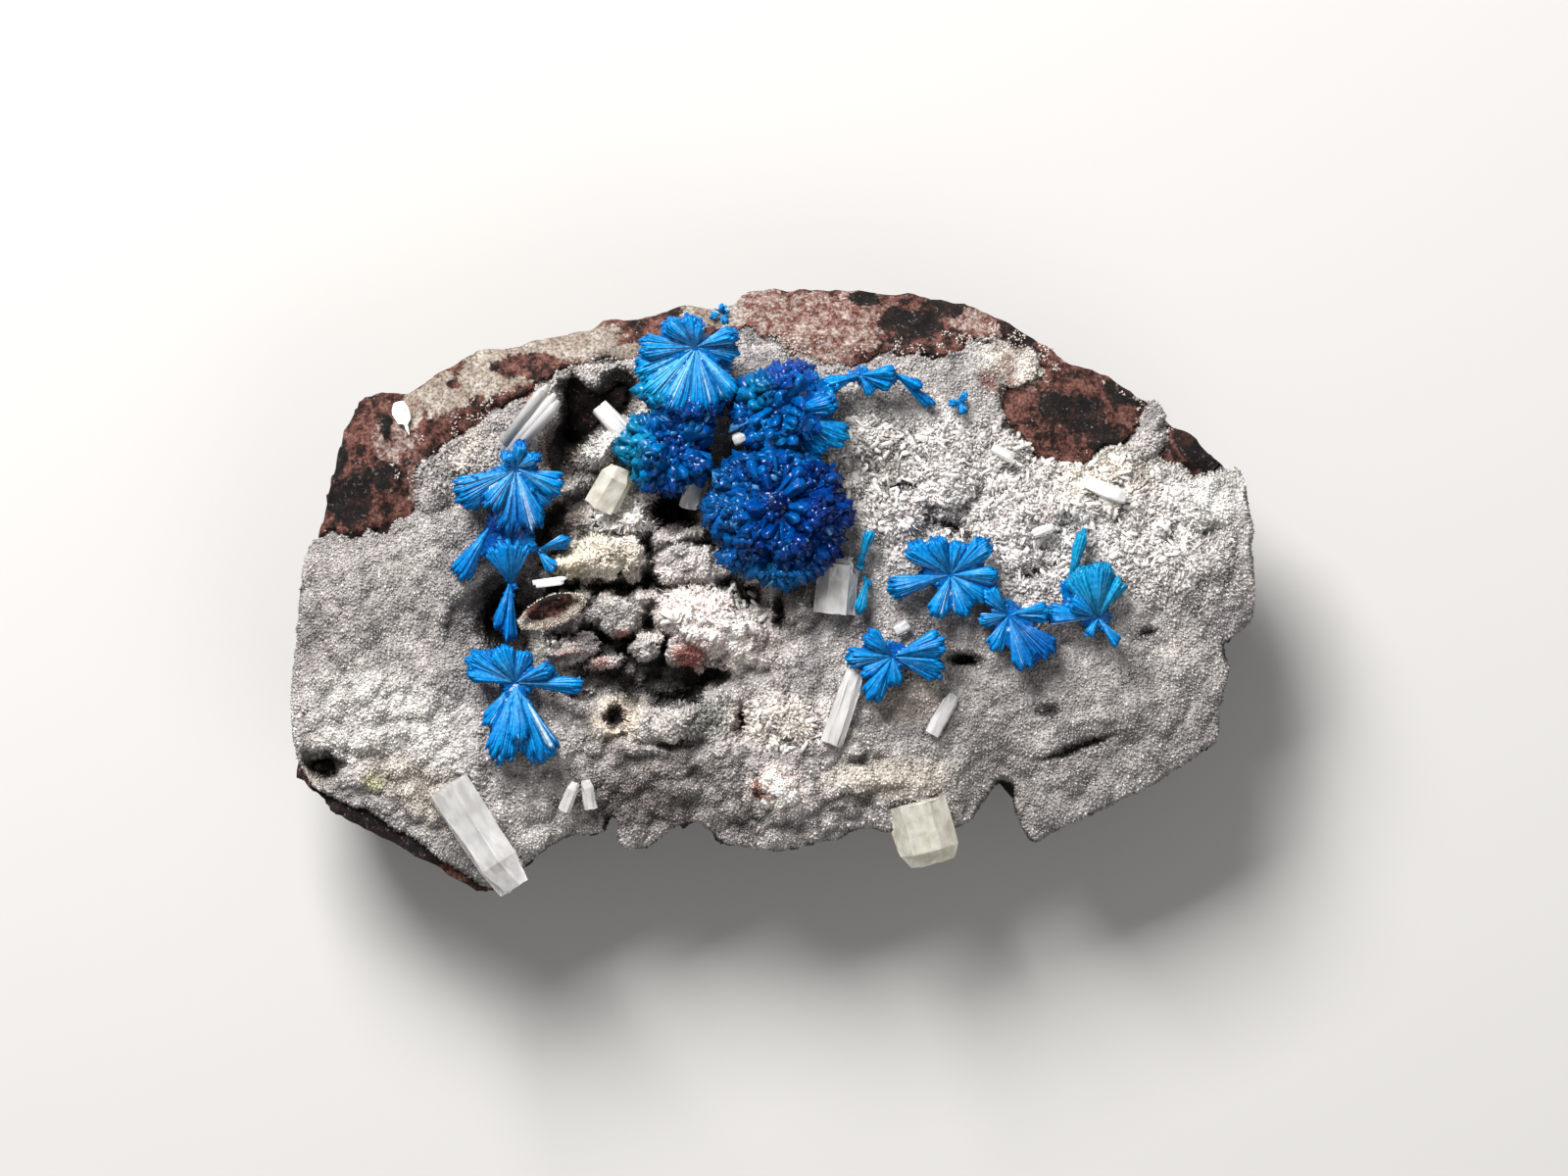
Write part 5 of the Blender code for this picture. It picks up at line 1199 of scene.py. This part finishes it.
shade["speck"].default_value = hex_colour("#CDBEB7")
black_and_shade, cream, mottled = (broken(weight) for weight in split.outputs)
skin = shade["red"]
for share, other in ((mottled, "veined"), (black_and_shade, "black"), (speck.outputs[0], "speck"),
                     (cream, "cream")):
    mixed = add_node(tree, "Mix", MIX_COLOUR, {},
                     {FACTOR: share, FIRST: skin, SECOND: shade[other]})
    skin = mixed.outputs[MIXED]
dark_grain = add_node(tree, "ValToRGB", links={"Fac": field["grains"]},
                      stops=((0.36, "#8E8886"), (0.60, "#FFFFFF")))
mixed = add_node(tree, "Mix", MULTIPLY_COLOUR, {FACTOR: 1.0},
                 {FIRST: skin, SECOND: dark_grain.outputs["Color"]})
tree.links.new(mixed.outputs[MIXED], shader.inputs["Base Color"])
bump = add_node(tree, "Bump", {}, {"Strength": 0.8, "Distance": 0.22 * MM},
                {"Height": field["specks"]})
tree.links.new(bump.outputs[0], shader.inputs["Normal"])
finish_piece(stone, basalt, "basalt", "basalt_matrix")

# %% [markdown]
# The bare basalt isn't quite bare: near the crust it is dusted with the same tiny crystals, in
# flocks, which is why the crust has no sharp border.

# %% Dust of crystals on the bare basalt
FLOCKS = [
    (-37.5, 14, 1.6, 3, -20), (-31, 18.6, 5, 1.6, 35), (-16, 23.8, 7, 1.4, 8), (3, 25.4, 8, 2.2, 2),
    (16, 25, 6, 2.2), (26, 24.6, 4, 2.6, -35), (38.6, 18.6, 3, 2.6), (33, 21.6, 6, 1.6, -28),
]


DUST_FROM = 14.0      # mm over the underside, on the slab's top


def dusted(found, facing):
    flock = any_patch(found[:, 0], found[:, 1], FLOCKS, 0.4)
    close = clamp(1.2 - from_border(found) / 2)
    thick = waved(flock, found, (1.6, 1.1, 5.0)) + 0.8 * close > 1.7
    return (facing[:, 2] > 0.2) & (found[:, 2] > DUST_FROM) & thick


stone_tint = dye("#BFB2AB") * waved(1, spots, (0.25, 1.0, 2.0))[:, None]
paint(stone.data, clamp(stone_tint, 0, WHITEST))
grow_druse("basalt_dust", stone, POINT, dusted, spacing=0.34, wide=(0.16, 0.36), tall=(0.2, 0.4),
           lean=0.4, flash=0.5)

# %% [markdown]
# The clear crystals keep their solids' flat faces. Their edges get a hair-thin bevel, which is what
# catches the light on a real crystal. Stilbite is striated along its length, so each corner of a
# crystal stores how far along its length, width and thickness it lies, and a noise stretched along
# the first is its grain.


# %% Clear and milky crystals
def clear_material(name, colour, milk, transmission, roughness, ior, streak):
    """streak is how much longer than wide the bands of the growth pattern are."""
    material, tree, shader = new_material(name, roughness, ior, transmission)
    own = add_node(tree, "Attribute", {"attribute_name": "own"}).outputs["Vector"]
    drawn = add_node(tree, "Mapping", {}, {"Scale": (1.0 / streak, 1.0, 1.0)},
                     {"Vector": own})
    cloud = add_node(tree, "TexNoise", {},
                     {"Scale": grain(1.1), "Detail": 4.0, "Roughness": 0.5},
                     {"Vector": drawn.outputs[0]})
    veil = add_node(tree, "ValToRGB", links={"Fac": cloud.outputs["Fac"]},
                    stops=((0.36, colour), (0.60, milk)))
    tree.links.new(veil.outputs["Color"], shader.inputs["Base Color"])
    steps = add_node(tree, "TexNoise", {}, {"Scale": grain(0.28), "Detail": 3.0},
                     {"Vector": drawn.outputs[0]})
    bump = add_node(tree, "Bump", {}, {"Strength": 0.35, "Distance": 0.06 * MM},
                    {"Height": steps.outputs["Fac"]})
    tree.links.new(bump.outputs[0], shader.inputs["Normal"])
    return material


# Each mineral's colour and milky colour, transmission, roughness, IOR and streak
CLEAR_LOOKS = {
    "colourless_stilbite": ("#DAD7D3", "#FCFAF8", 0.50, 0.16, 1.50, 7.0),
    "white_stilbite": ("#DEDBD7", "#FCFAF8", 0.45, 0.18, 1.50, 6.0),
    "colourless_calcite": ("#DAD7D4", "#FAF9F7", 0.55, 0.09, 1.60, 2.0),
    "white_calcite": ("#E8E7E4", "#FCFBFA", 0.0, 0.35, 1.60, 1.5),
    "yellow_calcite": ("#D2CBB8", "#F4F1E6", 0.50, 0.14, 1.60, 1.5),
}
CLEAR = {slot: clear_material(slot, *look) for slot, look in CLEAR_LOOKS.items()}


def own_directions(piece):
    """Stores each corner's place along the crystal's length, width and thickness, in metres, and
    gives those directions and the middle in mm."""
    spots, _ = places(piece.data)
    middle = spots.mean(axis=0)
    _, _, directions = np.linalg.svd(spots - middle, full_matrices=False)
    own = (spots - middle) @ directions.T * MM
    layer = piece.data.attributes.new("own", "FLOAT_VECTOR", "POINT")
    layer.data.foreach_set("vector", own.ravel())
    return middle, directions


UNEVEN = 0.13         # how far in mm growth steps leave a face uneven
BEVEL = 0.09          # mm
FLAT, SHARP = math.radians(3), math.radians(25)       # below and above these an edge goes or stays


def crystal_piece(node, slot):
    piece = merged_copy(node, node + "_crystal")
    bm = bmesh.new()
    bm.from_mesh(piece.data)
    bmesh.ops.dissolve_limit(bm, angle_limit=FLAT, verts=bm.verts[:], edges=bm.edges[:])
    sharp = [e for e in bm.edges if len(e.link_faces) == 2 and e.calc_face_angle() > SHARP]
    bmesh.ops.bevel(bm, geom=sharp, offset=BEVEL * MM, affect="EDGES", segments=1, profile=0.5,
                    material=-1, clamp_overlap=True)
    bmesh.ops.triangulate(bm, faces=bm.faces[:])
    bmesh.ops.subdivide_edges(bm, edges=bm.edges[:], cuts=2, use_grid_fill=True)
    bm.to_mesh(piece.data)
    bm.free()
    middle, directions = own_directions(piece)
    spots, normals = places(piece.data)
    own = (spots - middle) @ directions.T * [0.4, 1.0, 1.0]
    steps = UNEVEN * (wander(own, 0.9, float(len(node))) + 0.6 * wander(own, 0.45, 3.0))
    steps -= 0.6 * UNEVEN
    longest = np.ptp(spots, axis=0).max()
    steps += 0.05 * longest * np.minimum(wander(own, 0.3 * longest, 8.0), 0)    # broad hollows
    put_places(piece.data, spots + normals * steps[:, None])
    finish_piece(piece, CLEAR[slot], slot, node)


# %% [markdown]
# Stilbite blades are bundles: thin plates grown side by side and fanned a few degrees, with a
# ragged end. The two long blades at the hollow and the white stub are made as such bundles, laid
# along the length that their solids have.


# %% Bundles of plates
def plate(bm):
    """A thin plate along Z, middle at 0, with slanting corners."""
    bmesh.ops.create_cube(bm, size=1.0)
    bmesh.ops.bisect_plane(bm, geom=bm.verts[:] + bm.edges[:] + bm.faces[:],
                           plane_co=(0, 0, 0.38), plane_no=(0, 0, 1))
    for v in bm.verts:
        if v.co.z > 0.45:
            v.co.x *= 0.45
            v.co.y *= 0.6


def bundle(node, slot, count, splay, wide):
    """A crystal of count plates, fanned by splay degrees to each side. wide is a plate's width as
    a share of the bundle's."""
    solid = merged_copy(node, node + "_bundle")
    middle, directions = own_directions(solid)
    spots, _ = places(solid.data)
    spans = np.ptp((spots - middle) @ directions.T, axis=0)
    print(node, "spans", spans.round(1), "mm")
    bpy.data.objects.remove(solid)
    along, aside, up = directions
    step = (np.arange(count) + 0.5) / count - 0.5
    lean = np.radians(splay) * 2 * step + 0.03 * chance.normal(size=count)
    lengths = spans[0] * chance.uniform(0.80, 1.0, count)
    aims = along * np.cos(lean)[:, None] + aside * np.sin(lean)[:, None]
    axes = np.stack([aside * spans[1] * wide * chance.uniform(0.8, 1.2, (count, 1)),
                     up * spans[2] * chance.uniform(0.5, 0.85, (count, 1)),
                     aims * lengths[:, None]], axis=1)
    spots = middle + aside * (spans[1] * (1 - wide) * step)[:, None]
    spots = spots + up * (spans[2] * 0.08 * chance.normal(size=(count, 1)))
    piece = lay_copies(node + "_bundle", shape_of(plate), spots, axes, np.ones((count, 3)))
    bm = bmesh.new()
    bm.from_mesh(piece.data)
    bmesh.ops.recalc_face_normals(bm, faces=bm.faces[:])
    bm.to_mesh(piece.data)
    bm.free()
    own_directions(piece)
    finish_piece(piece, CLEAR[slot], slot, node)


BUNDLES = {"stilbite_blade_left": dict(count=8, splay=3, wide=0.26),
           "stilbite_blade_right": dict(count=6, splay=3, wide=0.34),
           "calcite_stub_white": dict(count=2, splay=2, wide=0.50)}
slots = {part["node"]: part["material_slot"] for part in frame["record"]["subparts"]}
for node, slot in slots.items():
    if node in BUNDLES:
        bundle(node, slot, **BUNDLES[node])
    elif slot in CLEAR:
        crystal_piece(node, slot)

# %% [markdown]
# The shell fragment is a thin trough of basalt, brown inside, with a pale crust of tiny crystals
# round its rim. The trough is an oval patch too, so how far out in it a place lies shows the rim.

# %% The shell fragment
SHELL = (-22.6, -1.5, 7.4 / 2, 3.8 / 2.3, 22)
RIM_FROM, RIM_CRYSTALS = 0.62, 0.84   # how far out in it the pale rim and its crystals begin


def out_in_shell(points):
    return oval(points[:, 0], points[:, 1], *SHELL)


shell = fine_skin("basalt_shell_fragment", "shell_fragment", square=0.24, rounds=2)
spots, normals = places(shell.data)
rim = clamp((waved(out_in_shell(spots), spots, (0.10, 0.8)) - RIM_FROM) / 0.12)
inside = (normals[:, 2] > 0.1) * (1 - rim)
paint(shell.data, np.stack([0.45 * inside, 1 - inside, 0 * rim], axis=1), "patches")
paint(shell.data, np.tile(dye("#D2C8BA"), (len(spots), 1)))
finish_piece(shell, basalt, "basalt", "basalt_shell_fragment")
grow_druse("shell_rim", shell, POINT, lambda p, n: (out_in_shell(p) > RIM_CRYSTALS) | (n[:, 2] < 0),
           spacing=0.22, wide=(0.16, 0.26), tall=(0.2, 0.4), lean=0.3, flash=0.4)

# %% [markdown]
# The specimen lies on a plain pale floor. The photograph looks straight down on it from about
# 0.8 m with a long lens, and its key light comes from above the upper edge, a little to the left.

# %% Floor, lights and camera
FLOOR_GAP = 0.0002            # metres under the part, so that no two faces share a plane
AIM = Vector((0, 0, 0.02))    # where the lamps point, on the specimen's face

floor_mesh = bpy.data.meshes.new("floor")
bm = bmesh.new()
bmesh.ops.create_grid(bm, x_segments=1, y_segments=1, size=1.5)
bm.to_mesh(floor_mesh)
bm.free()
floor = new_object("floor", floor_mesh)
floor.location.z = cad_box[0][2] - FLOOR_GAP
pale_floor, _, shader = new_material("pale_floor", roughness=0.9, ior=1.45)
shader.inputs["Base Color"].default_value = hex_colour("#BFBDBA")
floor.data.materials.append(pale_floor)


def soft_light(name, power, size, eye):
    lamp = bpy.data.lights.new(name, "AREA")
    lamp.energy = power
    lamp.size = size
    made = new_object(name, lamp)
    made.location = eye
    made.rotation_euler = (AIM - Vector(eye)).to_track_quat("-Z", "Y").to_euler()


soft_light("key", power=9.0, size=0.30, eye=(-0.20, 0.42, 0.46))
soft_light("fill", power=1.3, size=0.5, eye=(0.35, -0.40, 0.5))
world = bpy.data.worlds.new("studio")
world.use_nodes = True
sky = world.node_tree.nodes["Background"]
sky.inputs["Color"].default_value = (1, 1, 1, 1)
sky.inputs["Strength"].default_value = 0.24
bpy.context.scene.world = world
bpy.context.scene.view_settings.view_transform = "Standard"

lens = bpy.data.cameras.new("camera")
lens.lens = 180
lens.sensor_width = 36
lens.clip_start = 0.01
camera = new_object("camera", lens)
camera.location = (0.00125, 0.00035, 0.8205)
bpy.context.scene.camera = camera
